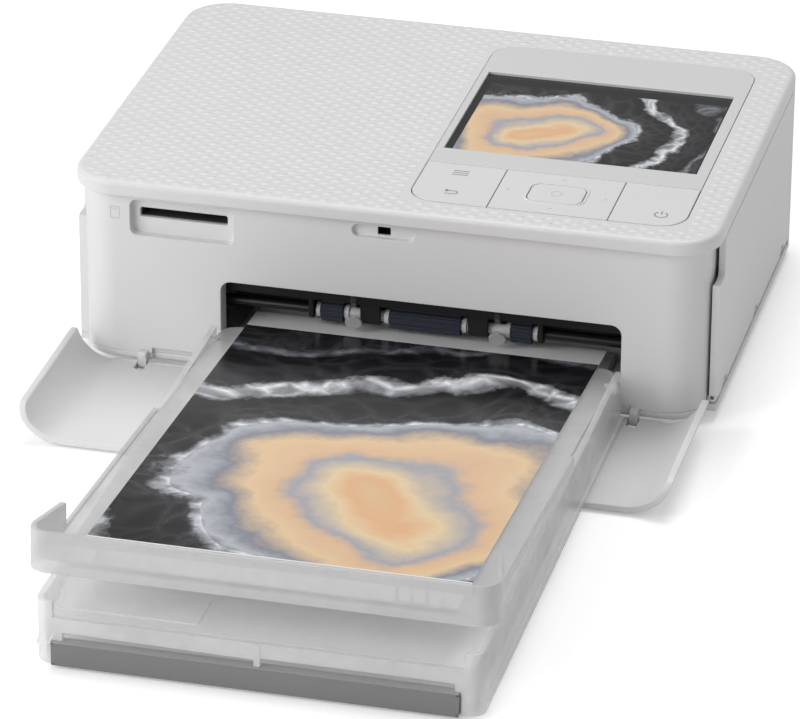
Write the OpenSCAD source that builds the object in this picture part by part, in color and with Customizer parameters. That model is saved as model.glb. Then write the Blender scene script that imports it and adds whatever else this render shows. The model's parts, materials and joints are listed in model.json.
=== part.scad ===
// Compact photo printer with its paper cassette in place and its front door open.
// X runs to the right seen from the front, Y to the rear and Z up, in millimetres.
// The modules use a drawing frame with y = 0 at the rim's front, and in_frame centres it.

/* [Body] */
// Width over the side panels
body_w = 182.2; // [176:0.2:200]
// Depth from the rim's front to the rear cover
body_d = 133; // [131:0.5:150]
// Height from the table to the top
body_h = 57.6; // [57:0.2:66]
// Plan radius of the upright corners
corner_r = 13; // [11:0.5:16]
// Height of the top cover's rim
rim_h = 4.4; // [3.6:0.1:5]
// Rounding along the rim's upper edge
rim_round = 1.6; // [0.8:0.1:1.8]
// Wall of the moulded covers
wall = 2; // [1.6:0.1:2.2]
// Height of the underside above the table
foot_h = 2.8; // [2.7:0.1:3.4]
// Radius of a rubber foot
foot_r = 5; // [4:0.5:6]
// Depth of the rear cover's side cheeks
cheek_d = 13.8; // [13:0.2:16]
// Drop from the top to the lower end of the finger notches
notch_drop = 16.6; // [14:0.2:19]
// Depth of the finger notches behind the door's lips
notch_d = 6.4; // [4:0.2:9]

/* [Front door] */
// Thickness of the door's plate
door_t = 2; // [1.6:0.1:2.2]
// Gap between the closed door and the front face
door_gap = 0.4; // [0.3:0.1:0.6]
// Depth that the side lips wrap round the corners
lip_d = 10.4; // [9:0.2:12]
// Radius of the door's hinge barrel
door_barrel_r = 1.1; // [1:0.05:1.2]
// Height of the door's hinge axis
door_hinge_z = 1.7; // [1.6:0.05:1.8]
// Distance of the hinge lugs from the body's sides
door_lug_in = 21.1; // [18:0.1:25]
// Width of a hinge lug
door_lug_w = 2.4; // [2:0.1:3]
// Radius of the door's hinge pins
door_pin_r = 0.55; // [0.5:0.05:0.65]

/* [Ink door] */
// Gap between the ink door and the wall behind it
ink_gap = 0.9; // [0.8:0.1:1.2]
// Radius of the ink door's hinge barrel
ink_barrel_r = 1.2; // [1.1:0.05:1.3]
// Radius of the ink door's hinge pin
ink_pin_r = 0.6; // [0.5:0.05:0.7]
// Length of each lug along the ink door's hinge
ink_lug_w = 5; // [4:0.5:8]

/* [Front face] */
// Sideways place of the paper path's middle
path_x = 9; // [7:0.5:10]
// Width of the cassette mouth
mouth_w = 113.2; // [112.8:0.2:116]
// Height of the mouth's upper edge
mouth_z = 29.4; // [28.5:0.2:31]
// Corner radius of the mouth
mouth_r = 3; // [2:0.5:4]
// Sideways place of the card slot's middle
card_x = -58.7; // [-60:0.5:-57]
// Width of the card slot
card_w = 25; // [24.6:0.2:26]
// Height of the card slot
card_h = 2.8; // [2.4:0.1:3.2]
// Drop from the rim to the card slot's middle
card_drop = 6.4; // [6.2:0.1:6.8]
// Width of the recess round the card slot
recess_w = 29.4; // [29:0.2:31]
// Height of the recess round the card slot
recess_h = 10.6; // [9:0.2:11]
// Depth of the card recess
recess_d = 2.6; // [2:0.1:3]
// Sideways place of the door catch
catch_x = -1.4; // [-4:0.2:4]
// Drop from the rim to the door catch's middle
catch_drop = 3.6; // [3.2:0.1:4.2]
// Length of the door catch's capsule
catch_w = 17.5; // [15:0.5:20]
// Height of the door catch's capsule
catch_h = 3.6; // [3:0.1:4]
// Width of the hole in the door catch
catch_hole_w = 3.7; // [3:0.1:5]

/* [Control panel] */
// Margin between the panel and the body's right side
panel_margin = 10.7; // [9.7:0.1:13.7]
// Width of the panel
panel_w = 77.4; // [75.8:0.2:79]
// Front edge of the panel
panel_y = 9.4; // [8:0.2:11]
// Margin between the panel and the body's rear
panel_rear = 11.6; // [9.6:0.2:15]
// Corner radius of the panel
panel_r = 8; // [6:0.5:9]
// Thickness of the bed below the panel's plate
bed_t = 1.4; // [1.2:0.1:1.6]
// Width of the window
window_w = 71.8; // [70:0.2:73]
// Depth of the window
window_d = 55.6; // [53:0.2:57]
// Distance from the panel's front edge to the window
window_y = 36; // [34:0.5:38]
// Thickness of the window
window_t = 1.1; // [0.9:0.1:1.2]
// Depth of the key row
key_d = 26; // [24:0.5:28]
// Width of the outer left key
left_key_w = 22.8; // [21:0.2:24]
// Width of the outer right key
right_key_w = 21; // [20:0.2:22]
// Width of the round-ended centre key
ok_w = 15.2; // [13:0.2:17]
// Depth of the centre key
ok_d = 11.4; // [10:0.2:13]
// Gap round each key
key_gap = 0.3; // [0.25:0.05:0.4]
// Travel of a key at its edge
key_travel = 0.35; // [0.2:0.05:0.4]

/* [Paper cassette] */
// Distance from the paper to the cassette's front
cass_front_gap = 16; // [12:0.5:20]
// Width of the cassette
cass_w = 116; // [115:0.5:118]
// Height of the cassette's side walls above the table
cass_z = 18.4; // [17.6:0.2:18.4]
// Wall of the cassette
cass_wall = 1.8; // [1.4:0.1:2]
// Height of the cassette's underside above the door
cass_under_z = 3.6; // [3.4:0.1:4]
// Plan radius of the cassette's front corners
cass_r = 4; // [3:0.5:6]
// Width of the part that enters the mouth
neck_w = 109; // [108:0.5:110]
// Depth that enters the body
neck_d = 30; // [28:0.5:31]
// Height of the front bar
bar_h = 6.4; // [5:0.2:7]
// Width of the front bar
bar_w = 105.4; // [100:0.2:107]
// Thickness of the paper stack
stack_t = 2.6; // [1:0.2:3]
// Height of the cassette's front wall above the table
cass_front_z = 14; // [13.8:0.1:14.6]
// Width of a full-height corner beside the front wall
cass_corner_w = 5; // [4.5:0.5:8]
// Thickness of the inner cover
inner_t = 1.2; // [1:0.1:1.4]
// Height of the inner cover
inner_z = 12.4; // [11.5:0.1:12.6]

/* [Output tray] */
// Upward slope of the output tray
tray_tilt = 4.4; // [4.4:0.1:6]
// Thickness of the tray's floor
tray_t = 1.6; // [1.4:0.1:1.8]
// Width of the tray where it lies between the walls
tray_neck_w = 111.8; // [110:0.2:111.8]
// Width of the tray in front of its shoulders
tray_w = 115.2; // [114.8:0.2:116]
// Width over the front wall
tray_front_w = 124; // [122:0.5:126]
// Height of the front wall above the floor
tray_wall_h = 8; // [7:0.5:9]
// Depth of the skirt below the tray's floor in front
tray_skirt = 1.6; // [1:0.1:2.4]
// Depth of the ears behind the front wall
tray_ear_d = 20; // [16:0.5:24]
// Inward lean of an ear over its depth
tray_ear_in = 4.4; // [3:0.1:5]
// Plan radius at the front of the ears
tray_ear_r = 5.5; // [4:0.5:7]
// Radius of the tray's hinge pins
tray_pin_r = 1.5; // [1.2:0.1:1.6]
// Width of the paper
paper_w = 100; // [98:0.5:102]
// Length of the picture
paper_l = 148; // [144:0.5:150]
// Length of the tear-off strip at each end
paper_tab = 15; // [10:0.5:16]

/* [Mechanism] */
// Thickness of the frame's steel
frame_t = 1; // [0.8:0.1:1.4]
// Radius of the ribbed exit rollers
exit_r = 3.2; // [2.8:0.1:3.3]
// Radius of the exit roller shaft
exit_shaft_r = 1.5; // [1.2:0.1:1.8]
// Number of ribs round an exit roller
rib_count = 16; // [10:1:20]
// Radius of the grip roller
grip_r = 3.5; // [3.2:0.1:3.6]
// Radius of the pinch roller
pinch_r = 3.1; // [2.8:0.1:3.2]
// Radius of the platen roller
platen_r = 7; // [6:0.1:7]
// Radius of the platen's shaft
platen_shaft_r = 2.5; // [2:0.1:3]
// Outer radius of the ink cassette's chambers
chamber_r = 10.5; // [10:0.1:10.6]
// Radius of the wound film on the supply spool
supply_r = 8.4; // [5:0.1:8.8]
// Radius of the wound film on the take-up spool
takeup_r = 5.6; // [4.6:0.1:8.8]
// Radius of a spool's core
core_r = 4; // [3.6:0.1:4.2]
// Module of the gear teeth
gear_m = 0.8; // [0.78:0.01:0.81]
// Width of the gears
gear_w = 4; // [3:0.5:4.5]
// Running clearance of a shaft in its hole
run_fit = 0.05; // [0.03:0.01:0.08]
// Radius of the fan's blades
fan_r = 11; // [9:0.5:11.5]

/* [Hidden] */
$fn = 48;

shell_white = [0.93, 0.93, 0.93];
frosted = [0.86, 0.87, 0.88, 0.75];
part_black = [0.06, 0.06, 0.07];
steel = [0.7, 0.71, 0.73];
rubber_blue = [0.1, 0.12, 0.2];
gear_white = [0.9, 0.89, 0.85];
board_green = [0.1, 0.32, 0.2];

eps = 0.01;
cut = 1;
half_w = body_w / 2;
sheet_l = paper_l + 2 * paper_tab;
stack_back = 3;
cass_reach = sheet_l - neck_d + stack_back + cass_front_gap;
shift_y = (cass_reach - body_d) / 2;
seam_z = body_h - rim_h;
floor_z = foot_h + wall;
ceiling_z = body_h - wall;
face_y = door_t + door_gap;
cheek_y = body_d - cheek_d;
step_y = lip_d + 0.3;
right_wall_x = half_w - door_t - ink_gap;
left_in_x = -half_w + wall;
notch_z = body_h - notch_drop;
card_z = seam_z - card_drop;
catch_z = seam_z - catch_drop;
door_lug_x = half_w - door_lug_in;
panel_x = half_w - panel_margin - panel_w;

door_hinge_y = door_barrel_r;
ink_hinge_x = half_w - door_t + 0.5;
ink_hinge_z = floor_z + 0.6 + ink_barrel_r;
mouth_x0 = path_x - mouth_w / 2;
mouth_x1 = path_x + mouth_w / 2;
recess_z = card_z - 0.7;
pocket_y = face_y + recess_d + 1.6;

panel_x1 = panel_x + panel_w;
panel_y1 = body_d - panel_rear;
panel_fit = 0.15;
key_y1 = panel_y + key_d;
key_y = panel_y + key_d / 2;
key_x1 = panel_x + left_key_w;
key_x2 = panel_x1 - right_key_w;
nav_x = (key_x1 + key_x2) / 2;
bed_z = ceiling_z - bed_t;
key_z0 = ceiling_z + 0.6;
key_z1 = body_h - 0.1;
axle_r = 0.6;
axle_z = ceiling_z - 0.3;
plunger_r = 1.2;
plunger_y = 8;
switch_z = bed_z - 0.2;
ring_w = 18;
ring_d = 14;
ring_bar = 2.6;
ring_z0 = bed_z - 0.8;
ring_z1 = ceiling_z - 0.2;
stem_z = ring_z0 + 0.4;
pivot_r = 0.5;
pivot_z = (ring_z0 + ring_z1) / 2;
window_x = panel_x + (panel_w - window_w) / 2 - 0.6;
window_y0 = panel_y + window_y;
ledge = 1.2;
module_z0 = bed_z - 3;
board_z = module_z0 + 0.2;

cass_y1 = -2.6;
cass_y0 = 0.8 - cass_reach;
cass_x0 = path_x - cass_w / 2;
cass_x1 = path_x + cass_w / 2;
skid_z = 0.9;
door_reach = door_hinge_y + door_hinge_z - (seam_z - 0.2);
bar_x = path_x - 0.8;
bar_z1 = skid_z + bar_h;
bar_y1 = cass_y0 + 2.6;
slit_in = 7.4;
slit_h = 2.5;
neck_z0 = floor_z + 0.1;
neck_z1 = 10.2;
neck_y0 = cass_y1 - 4;
stack_z = neck_z0 + 1.2;
inner_y0 = cass_y0 + cass_wall + 0.5;
inner_y1 = -36;
inner_pin_r = 1;
sheet_t = 0.3;

hinge_y = -8;
hinge_z = 15.6;
shoulder_y = -(cass_z + 0.2 - hinge_z + tray_t / 2) / sin(tray_tilt);
tray_l = cass_reach + hinge_y - 2.6;
tray_back = 12;
finger_w = 4.8;
tray_ear_t = 1.6;
sheet_y0 = 2.4 - tray_l;

exit_y = 12.5;
exit_z = 19.6;
grip_y = 34;
grip_z = 22.9;
pinch_z = grip_z - grip_r - 0.3 - pinch_r;
platen_y = 62;
platen_z = floor_z + 0.6 + platen_r;
film_z = platen_z + platen_r + 0.4;
film_t = 0.3;
supply_y = 42;
takeup_y = 86;
spool_z = 36.4;
head_pivot_y = 101;
bracket_z = module_z0 - 3.8;
head_pivot_z = bracket_z - 1.2;
head_pivot_r = 1.5;
head_d = 16;
bracket_t = 1.2;
frame_x0 = -60;
frame_x1 = 76;
frame_y0 = 8.6;
frame_y1 = 102.8;
frame_z1 = module_z0 - 0.2;
gear_x = frame_x0 - frame_t - 1.5 - gear_w;
motor_x = gear_x - 3.5;
motor_l = motor_x - left_in_x - 1.1;
feed_motor_r = 11;
ribbon_motor_r = 10;
film_x0 = path_x - paper_w / 2;
film_x1 = path_x + paper_w / 2;
ink_x0 = film_x0 - 3;
ink_x1 = film_x1 + 3;
ink_grip_x = right_wall_x - 6.2;
journal_r = 3;
dog_t = 1.1;
grip_journal_r = 2;
pinch_journal_r = 1.5;
drive_r = 2;
stud_r = 1.2;
motor_shaft_r = 1;
fan_x = left_in_x + 25.1;
fan_z = seam_z - 16.2;
fan_box = 26;
fan_t = 8;
vent_w = 2.4;
vent_shift = half_w + 4.9;
board_x0 = left_in_x + 9.1;
board_x1 = right_wall_x - 10.2;
board_y0 = body_d - 29;
board_y1 = body_d - 4.5;
roller_x = paper_w / 2 + 4;
circuit_z = 8;
circuit_t = 1.4;
slot_z = film_z + 0.4;

exit_teeth = 16;
idler_teeth = 12;
grip_teeth = 18;
pinion_teeth = 10;
takeup_teeth = 24;
ribbon_teeth = 10;

function pitch_r(teeth) = gear_m * teeth / 2;
function involute(r, base) = sqrt(max(0, pow(r / base, 2) - 1)) * 180 / PI - acos(min(1, base / r));

// Where circles of radius ra and rb round a and b meet, on the side that turn gives.
function meet(a, b, ra, rb, turn) =
    let (d = norm(b - a), u = (b - a) / d, along = (ra * ra - rb * rb + d * d) / (2 * d))
    a + along * u + turn * sqrt(ra * ra - along * along) * [-u[1], u[0]];

function heading(a, b) = atan2(b[1] - a[1], b[0] - a[0]);

// Turn of gear b that meshes it with gear a, which is turned by turn_a.
function mesh_turn(a, b, teeth_a, teeth_b, turn_a) =
    let (h = heading(a, b), phase = (h - turn_a) * teeth_a / 360)
    h + 180 - (0.5 - phase) * 360 / teeth_b;

exit_c = [exit_y, exit_z];
grip_c = [grip_y, grip_z];
idler_c = meet(exit_c, grip_c, pitch_r(exit_teeth + idler_teeth),
    pitch_r(idler_teeth + grip_teeth), -1);
motor_c = grip_c + pitch_r(grip_teeth + pinion_teeth) * [cos(40), sin(40)];
takeup_c = [takeup_y, spool_z];
ribbon_c = takeup_c + pitch_r(takeup_teeth + ribbon_teeth) * [cos(70), -sin(70)];
idler_turn = mesh_turn(grip_c, idler_c, grip_teeth, idler_teeth, 0);
exit_turn = mesh_turn(idler_c, exit_c, idler_teeth, exit_teeth, idler_turn);
motor_turn = mesh_turn(grip_c, motor_c, grip_teeth, pinion_teeth, 0);
ribbon_turn = mesh_turn(takeup_c, ribbon_c, takeup_teeth, ribbon_teeth, 0);

module in_frame() translate([0, shift_y, 0]) children();
module in_tray() in_frame() translate([path_x, hinge_y, hinge_z]) rotate([-tray_tilt, 0, 0]) children();

// Flat rectangle with round corners.
module round_rect(x0, x1, y0, y1, r) {
    translate([x0 + r, y0]) square([x1 - x0 - 2 * r, y1 - y0]);
    translate([x0, y0 + r]) square([x1 - x0, y1 - y0 - 2 * r]);
    for (x = [x0 + r, x1 - r], y = [y0 + r, y1 - r]) translate([x, y]) circle(r);
}

module slab(x0, x1, y0, y1, z0, z1, r) {
    translate([0, 0, z0]) linear_extrude(z1 - z0) round_rect(x0, x1, y0, y1, r);
}

module block(x0, x1, y0, y1, z0, z1) {
    translate([x0, y0, z0]) cube([x1 - x0, y1 - y0, z1 - z0]);
}

module rod_x(x0, x1, y, z, r) translate([x0, y, z]) rotate([0, 90, 0]) cylinder(h = x1 - x0, r = r);
module rod_y(x, y0, y1, z, r) translate([x, y0, z]) rotate([-90, 0, 0]) cylinder(h = y1 - y0, r = r);
module rod_z(x, y, z0, z1, r) translate([x, y, z0]) cylinder(h = z1 - z0, r = r);

// Upright plate facing the front, with round corners, drawn in x and z.
module face_plate(x0, x1, z0, z1, y0, y1, r) {
    translate([0, y1, 0]) rotate([90, 0, 0]) linear_extrude(y1 - y0) round_rect(x0, x1, z0, z1, r);
}

// Upright plate facing the side, with round corners, drawn in y and z.
module side_plate(y0, y1, z0, z1, x0, x1, r) {
    translate([x0, 0, 0]) rotate([90, 0, 90]) linear_extrude(x1 - x0) round_rect(y0, y1, z0, z1, r);
}

// Profile in y and z drawn out along x.
module along_x(x0, x1) translate([x0, 0, 0]) rotate([90, 0, 90]) linear_extrude(x1 - x0) children();

module rim_profile(w, h, r) {
    square([w, h - r]);
    square([w - r, h]);
    translate([w - r, h - r]) circle(r);
}

// Slab with round upright corners and a rounded upper edge.
module soft_slab(w, d, z0, z1, plan_r, edge_r) {
    h = z1 - z0;
    for (x = [-1, 1], y = [plan_r, d - plan_r]) translate([x * (w / 2 - plan_r), y, z0])
        rotate_extrude() rim_profile(plan_r, h, edge_r);
    translate([0, d / 2, z0]) for (s = [0, 1]) mirror([s, 0, 0])
        translate([0, d / 2 - plan_r, 0]) rotate([90, 0, 0])
            linear_extrude(d - 2 * plan_r) rim_profile(w / 2, h, edge_r);
    translate([0, d / 2, z0]) for (s = [0, 1]) mirror([0, s, 0])
        translate([plan_r - w / 2, 0, 0]) rotate([90, 0, 90])
            linear_extrude(w - 2 * plan_r) rim_profile(d / 2, h, edge_r);
}

module full_plan(inset) {
    round_rect(inset - half_w, half_w - inset, inset, body_d - inset, corner_r - inset);
}

// Plan of the housing, set back in front and on the right for the two doors.
module body_plan() {
    round_rect(face_y - half_w, right_wall_x, face_y, cheek_y + corner_r, corner_r - face_y);
    intersection() {
        full_plan(0);
        translate([-half_w, step_y]) square([half_w, body_d]);
    }
}

module hollow_plan() {
    inner_y = face_y + wall;
    round_rect(face_y + wall - half_w, right_wall_x - wall, inner_y, body_d + corner_r,
        corner_r - inner_y);
    translate([left_in_x, step_y + notch_d + wall]) square([half_w, body_d]);
}

module front_half() translate([-half_w - cut, -cut]) square([body_w + 2 * cut, cheek_y + cut]);

// Finger notch beside the upper end of a door lip.
module notch(x0, x1) side_plate(-corner_r, step_y + notch_d, notch_z, body_h, x0, x1, 2);

module screw_places() {
    for (x = [left_in_x + 3, right_wall_x - wall - 3], y = [15, body_d - 23])
        translate([x, y, 0]) children();
}

module gear_plan(teeth, bore) {
    pitch = pitch_r(teeth);
    base = pitch * cos(20);
    tip = pitch + 0.85 * gear_m;
    root = pitch - 1.15 * gear_m;
    half = 90 / teeth - 0.07 / pitch * 180 / PI;
    low = max(root, base);
    flank = [for (i = [0:4]) let (r = low + (tip - low) * i / 4)
        [r, half + involute(pitch, base) - involute(r, base)]];
    side = concat([[root, flank[0][1]]], flank);
    rising = [for (p = side) [p[0], -p[1]]];
    falling = [for (i = [len(side) - 1:-1:0]) side[i]];
    difference() {
        polygon([for (t = [0:teeth - 1], p = concat(rising, falling))
            p[0] * [cos(t * 360 / teeth + p[1]), sin(t * 360 / teeth + p[1])]]);
        circle(bore);
    }
}

// Gear lying across x with its centre at c, given in y and z.
module gear_at(c, teeth, bore, turn) {
    translate([gear_x, c[0], c[1]]) rotate([90, 0, 90]) rotate([0, 0, turn])
        linear_extrude(gear_w) gear_plan(teeth, bore);
}

module top_cover() color(shell_white) in_frame() difference() {
    soft_slab(body_w, body_d, seam_z, body_h, corner_r, rim_round);
    translate([0, 0, seam_z - cut]) linear_extrude(ceiling_z - seam_z + cut) full_plan(wall);
    slab(panel_x, panel_x1, panel_y, panel_y1, seam_z, body_h + cut, panel_r);
}

module tongue(z0, z1, inset) {
    translate([0, 0, z0]) linear_extrude(z1 - z0) intersection() {
        difference() {
            full_plan(inset);
            full_plan(wall + 1.8);
        }
        front_half();
    }
}

module door_lug(x) {
    x0 = x - door_lug_w / 2;
    top = floor_z + 0.9;
    block(x0, x0 + door_lug_w, 0, face_y + eps, door_hinge_z, top - door_barrel_r);
    block(x0, x0 + door_lug_w, door_barrel_r, face_y + eps, door_hinge_z, top);
    rod_x(x0, x0 + door_lug_w, door_hinge_y, top - door_barrel_r, door_barrel_r);
    rod_x(x - door_lug_w / 2, x + door_lug_w / 2, door_hinge_y, door_hinge_z, door_barrel_r);
}

module ink_lug_places() {
    for (y = [step_y + 8, (step_y + cheek_y) / 2, cheek_y - 8 - ink_lug_w]) translate([0, y, 0]) children();
}

module housing() color(shell_white) in_frame() difference() {
    union() {
        translate([0, 0, floor_z]) linear_extrude(seam_z - floor_z) intersection() {
            difference() {
                body_plan();
                hollow_plan();
            }
            front_half();
        }
        intersection() {
            tongue(seam_z - 3, seam_z, wall - eps);
            translate([0, 0, seam_z - 3]) linear_extrude(3) body_plan();
        }
        tongue(seam_z - eps, ceiling_z, wall + panel_fit);
        translate([0, 0, floor_z]) screw_places() cylinder(h = 14, r = 3.4);
        for (x = [mouth_x0 - wall, mouth_x1])
            block(x, x + wall, face_y, face_y + wall + 3.6, floor_z, mouth_z);
        face_plate(card_x - recess_w / 2 - wall, card_x + recess_w / 2 + wall,
            recess_z - recess_h / 2 - wall, seam_z, face_y + cut, pocket_y, 2);
        for (x = [-door_lug_x, door_lug_x]) door_lug(x);
        ink_lug_places() {
            block(right_wall_x - eps, ink_hinge_x, 0, ink_lug_w,
                ink_hinge_z - ink_barrel_r, ink_hinge_z + ink_barrel_r);
            rod_y(ink_hinge_x, 0, ink_lug_w, ink_hinge_z, ink_barrel_r);
        }
    }
    face_plate(mouth_x0, mouth_x1, -mouth_z, mouth_z, 0, face_y + wall + 4, mouth_r);
    face_plate(card_x - recess_w / 2, card_x + recess_w / 2, recess_z - recess_h / 2,
        recess_z + recess_h / 2, 0, face_y + recess_d, 2);
    face_plate(card_x - card_w / 2, card_x + card_w / 2, card_z - card_h / 2, card_z + card_h / 2,
        0, pocket_y + cut, 0.6);
    face_plate(catch_x - catch_w / 2, catch_x + catch_w / 2, catch_z - catch_h / 2,
        catch_z + catch_h / 2, 0, face_y + 1.4, catch_h / 2 - eps);
    block(catch_x - catch_hole_w / 2, catch_x + catch_hole_w / 2, 0, face_y + wall + cut,
        catch_z - 1.2, catch_z + 1.2);
    side_plate(supply_y - 16, takeup_y + 16, spool_z - 14.4, seam_z - 3.2, right_wall_x - wall - cut,
        right_wall_x + cut, 4);
    translate([0, 0, floor_z - cut]) screw_places() cylinder(h = 12, r = 1.5);
    rod_x(-door_lug_x - 5, door_lug_x + 5, door_hinge_y, door_hinge_z, door_pin_r + run_fit);
    rod_y(ink_hinge_x, 0, cheek_y, ink_hinge_z, ink_pin_r + run_fit);
    notch(-half_w - cut, face_y - half_w);
    // Shallow recess over the left hinge arm, at the face's lower edge.
    block(door_lug_w - door_lug_x, 14 - door_lug_x, 0, face_y + 1, foot_h, floor_z + 1.6);
}

module foot_places() {
    for (x = [17.1 - half_w, half_w - 17.1], y = [20, body_d - 17]) translate([x, y, 0]) children();
}

module bottom_cover() color(shell_white) in_frame() difference() {
    union() {
        translate([0, 0, foot_h]) linear_extrude(wall) {
            round_rect(face_y - half_w, half_w - face_y, face_y, body_d - corner_r, corner_r - face_y);
            intersection() {
                full_plan(0);
                translate([-half_w, step_y]) square([body_w, body_d]);
            }
        }
        for (x = [board_x0 + 4, -30, 30, board_x1 - 4], y = [board_y0 + 2, board_y1 - 2])
            rod_z(x, y, floor_z - eps, circuit_z, 1.8);
    }
    translate([0, 0, foot_h - cut]) screw_places() {
        cylinder(h = wall + 2 * cut, r = 1.7);
        cylinder(h = cut + 1, r = 2.8);
    }
    translate([0, 0, foot_h - cut]) foot_places() cylinder(h = cut + 0.6, r = foot_r + 0.1);
    // Row of vents below the boards.
    for (i = [-7:7])
        slab(i * 7 - vent_w / 2, i * 7 + vent_w / 2, body_d - 23, body_d - 11, foot_h - cut,
            floor_z + cut, 1.1);
    block(door_lug_w - door_lug_x, 14 - door_lug_x, 0, face_y + 1, 0, floor_z + cut);
}

module rear_cover() color(shell_white) in_frame() difference() {
    translate([0, 0, floor_z]) linear_extrude(seam_z - floor_z) difference() {
        intersection() {
            full_plan(0);
            translate([-half_w, cheek_y]) square([body_w, cheek_d]);
        }
        full_plan(wall);
    }
    face_plate(path_x - roller_x - 2, path_x + roller_x + 2, slot_z - 3.4, slot_z + 3.4, body_d - wall - cut,
        body_d + cut, 1.5);
    for (i = [0:5], side = [0, 1]) translate([side * vent_shift, 0, 0])
        face_plate(fan_x - 10 + i * 4 - vent_w / 2, fan_x - 10 + i * 4 + vent_w / 2, fan_z - 9,
            fan_z + 9, body_d - wall - cut, body_d + cut, 1.1);
    rod_y(jack_x, body_d - wall - cut, body_d + cut, jack_z, 4.2);
    face_plate(usb_x - 5, usb_x + 5, usb_z - 2, usb_z + 2, body_d - wall - cut, body_d + cut, 1.9);
}

module feet() color("gray") in_frame() foot_places() {
    cylinder(h = foot_h + 0.6, r = foot_r);
}

module screws() color(steel) in_frame() screw_places() {
    translate([0, 0, foot_h + 0.2]) cylinder(h = 0.8, r = 2.6);
    translate([0, 0, foot_h + 0.9]) cylinder(h = 10, r = 1.45);
}

module door_catch() color(part_black) in_frame() difference() {
    block(catch_x - 6, catch_x + 6, face_y + wall, face_y + wall + 4, catch_z - 3.4, catch_z + 3.4);
    block(catch_x - catch_hole_w / 2, catch_x + catch_hole_w / 2, face_y, face_y + wall + 3,
        catch_z - 1.2, catch_z + 1.2);
}

// The door is drawn closed and turned down about its hinge.
module front_door() color(shell_white) in_frame() translate([0, door_hinge_y, door_hinge_z])
    rotate([90, 0, 0]) translate([0, -door_hinge_y, -door_hinge_z]) difference() {
        union() {
            translate([0, 0, door_hinge_z]) linear_extrude(seam_z - 0.2 - door_hinge_z) intersection() {
                difference() {
                    full_plan(0);
                    full_plan(door_t);
                }
                translate([-half_w, 0]) square([body_w, lip_d]);
            }
            rod_x(corner_r - half_w, half_w - corner_r, door_hinge_y, door_hinge_z, door_barrel_r);
            block(catch_x - 1.5, catch_x + 1.5, door_t - eps, door_t + 0.6, catch_z - 1, catch_z + 1);
        }
        for (x = [-door_lug_x, door_lug_x])
            block(x - door_lug_w / 2 - 0.3, x + door_lug_w / 2 + 0.3, -cut, door_t + cut,
                -cut, door_hinge_z + 5);
        rod_x(-door_lug_x - 5, door_lug_x + 5, door_hinge_y, door_hinge_z, door_pin_r + run_fit);
        // Round the upper ends of the lips.
        difference() {
            block(-half_w - cut, half_w + cut, lip_d - 5, lip_d + cut, seam_z - 5.2, seam_z);
            rod_x(-half_w - cut, half_w + cut, lip_d - 5, seam_z - 5.2, 5);
        }
    }

module door_pins() color(steel) in_frame() for (x = [-door_lug_x, door_lug_x])
    rod_x(x - 4.8, x + 4.8, door_hinge_y, door_hinge_z, door_pin_r);

module ink_door() color(shell_white) in_frame() difference() {
    union() {
        translate([0, 0, ink_hinge_z]) linear_extrude(seam_z - 0.3 - ink_hinge_z) intersection() {
            difference() {
                full_plan(0);
                full_plan(door_t);
            }
            translate([0, step_y]) square([half_w, cheek_y - step_y - 0.2]);
        }
        rod_y(ink_hinge_x, step_y + 0.4, cheek_y - 0.4, ink_hinge_z, ink_barrel_r);
        for (z = [18, 44]) block(half_w - door_t - 0.5, half_w - door_t + eps, 24, 104, z, z + 1.2);
    }
    ink_lug_places() block(half_w - 4, half_w + cut, -0.3, ink_lug_w + 0.3, 0, ink_hinge_z + 2);
    rod_y(ink_hinge_x, 0, cheek_y, ink_hinge_z, ink_pin_r + run_fit);
    notch(half_w - door_t - cut, half_w + cut);
}

module ink_door_pin() color(steel) in_frame()
    rod_y(ink_hinge_x, step_y + 2, cheek_y - 2, ink_hinge_z, ink_pin_r);

module panel_plan(inset) {
    round_rect(panel_x + inset, panel_x1 - inset, panel_y + inset, panel_y1 - inset, panel_r - inset);
}

module outer_key_holes(x) {
    for (y = [-plunger_y, plunger_y]) translate([x, key_y + y]) circle(plunger_r + 0.6);
}

module axle_groove(x) {
    rod_x(x - 5.2, x + 5.2, key_y, axle_z, axle_r + run_fit);
    block(x - 5.2, x + 5.2, key_y - axle_r - run_fit, key_y + axle_r + run_fit, axle_z, ceiling_z + cut);
}

left_key_x = (panel_x + key_x1) / 2;
right_key_x = (key_x2 + panel_x1) / 2;

module control_panel() color(shell_white) in_frame() difference() {
    union() {
        translate([0, 0, ceiling_z - eps]) linear_extrude(key_z1 - ceiling_z) intersection() {
            panel_plan(panel_fit);
            translate([panel_x, key_y1 + key_gap / 2]) square([panel_w, body_d]);
        }
        translate([0, 0, bed_z]) linear_extrude(bed_t) panel_plan(-1.6);
        for (x = [nav_x - ring_w / 2 - 2.3, nav_x + ring_w / 2 + 0.3])
            block(x, x + 2, key_y - 2, key_y + 2, ring_z0, ceiling_z - eps);
    }
    block(window_x, window_x + window_w, window_y0, window_y0 + window_d, ceiling_z, body_h);
    block(window_x + ledge, window_x + window_w - ledge, window_y0 + ledge,
        window_y0 + window_d - ledge, bed_z - cut, body_h);
    translate([0, 0, bed_z - cut]) linear_extrude(bed_t + 2 * cut) {
        outer_key_holes(left_key_x);
        outer_key_holes(right_key_x);
        translate([nav_x - ring_w / 2 - 0.3, key_y - ring_d / 2 - 2.4])
            square([ring_w + 0.6, ring_d + 4.8]);
    }
    axle_groove(left_key_x);
    axle_groove(right_key_x);
    rod_x(nav_x - ring_w, nav_x + ring_w, key_y, pivot_z, pivot_r + run_fit);
}

module screen_window() color([0.08, 0.09, 0.1]) in_frame()
    block(window_x + 0.1, window_x + window_w - 0.1, window_y0 + 0.1, window_y0 + window_d - 0.1,
        ceiling_z, ceiling_z + window_t);

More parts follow.
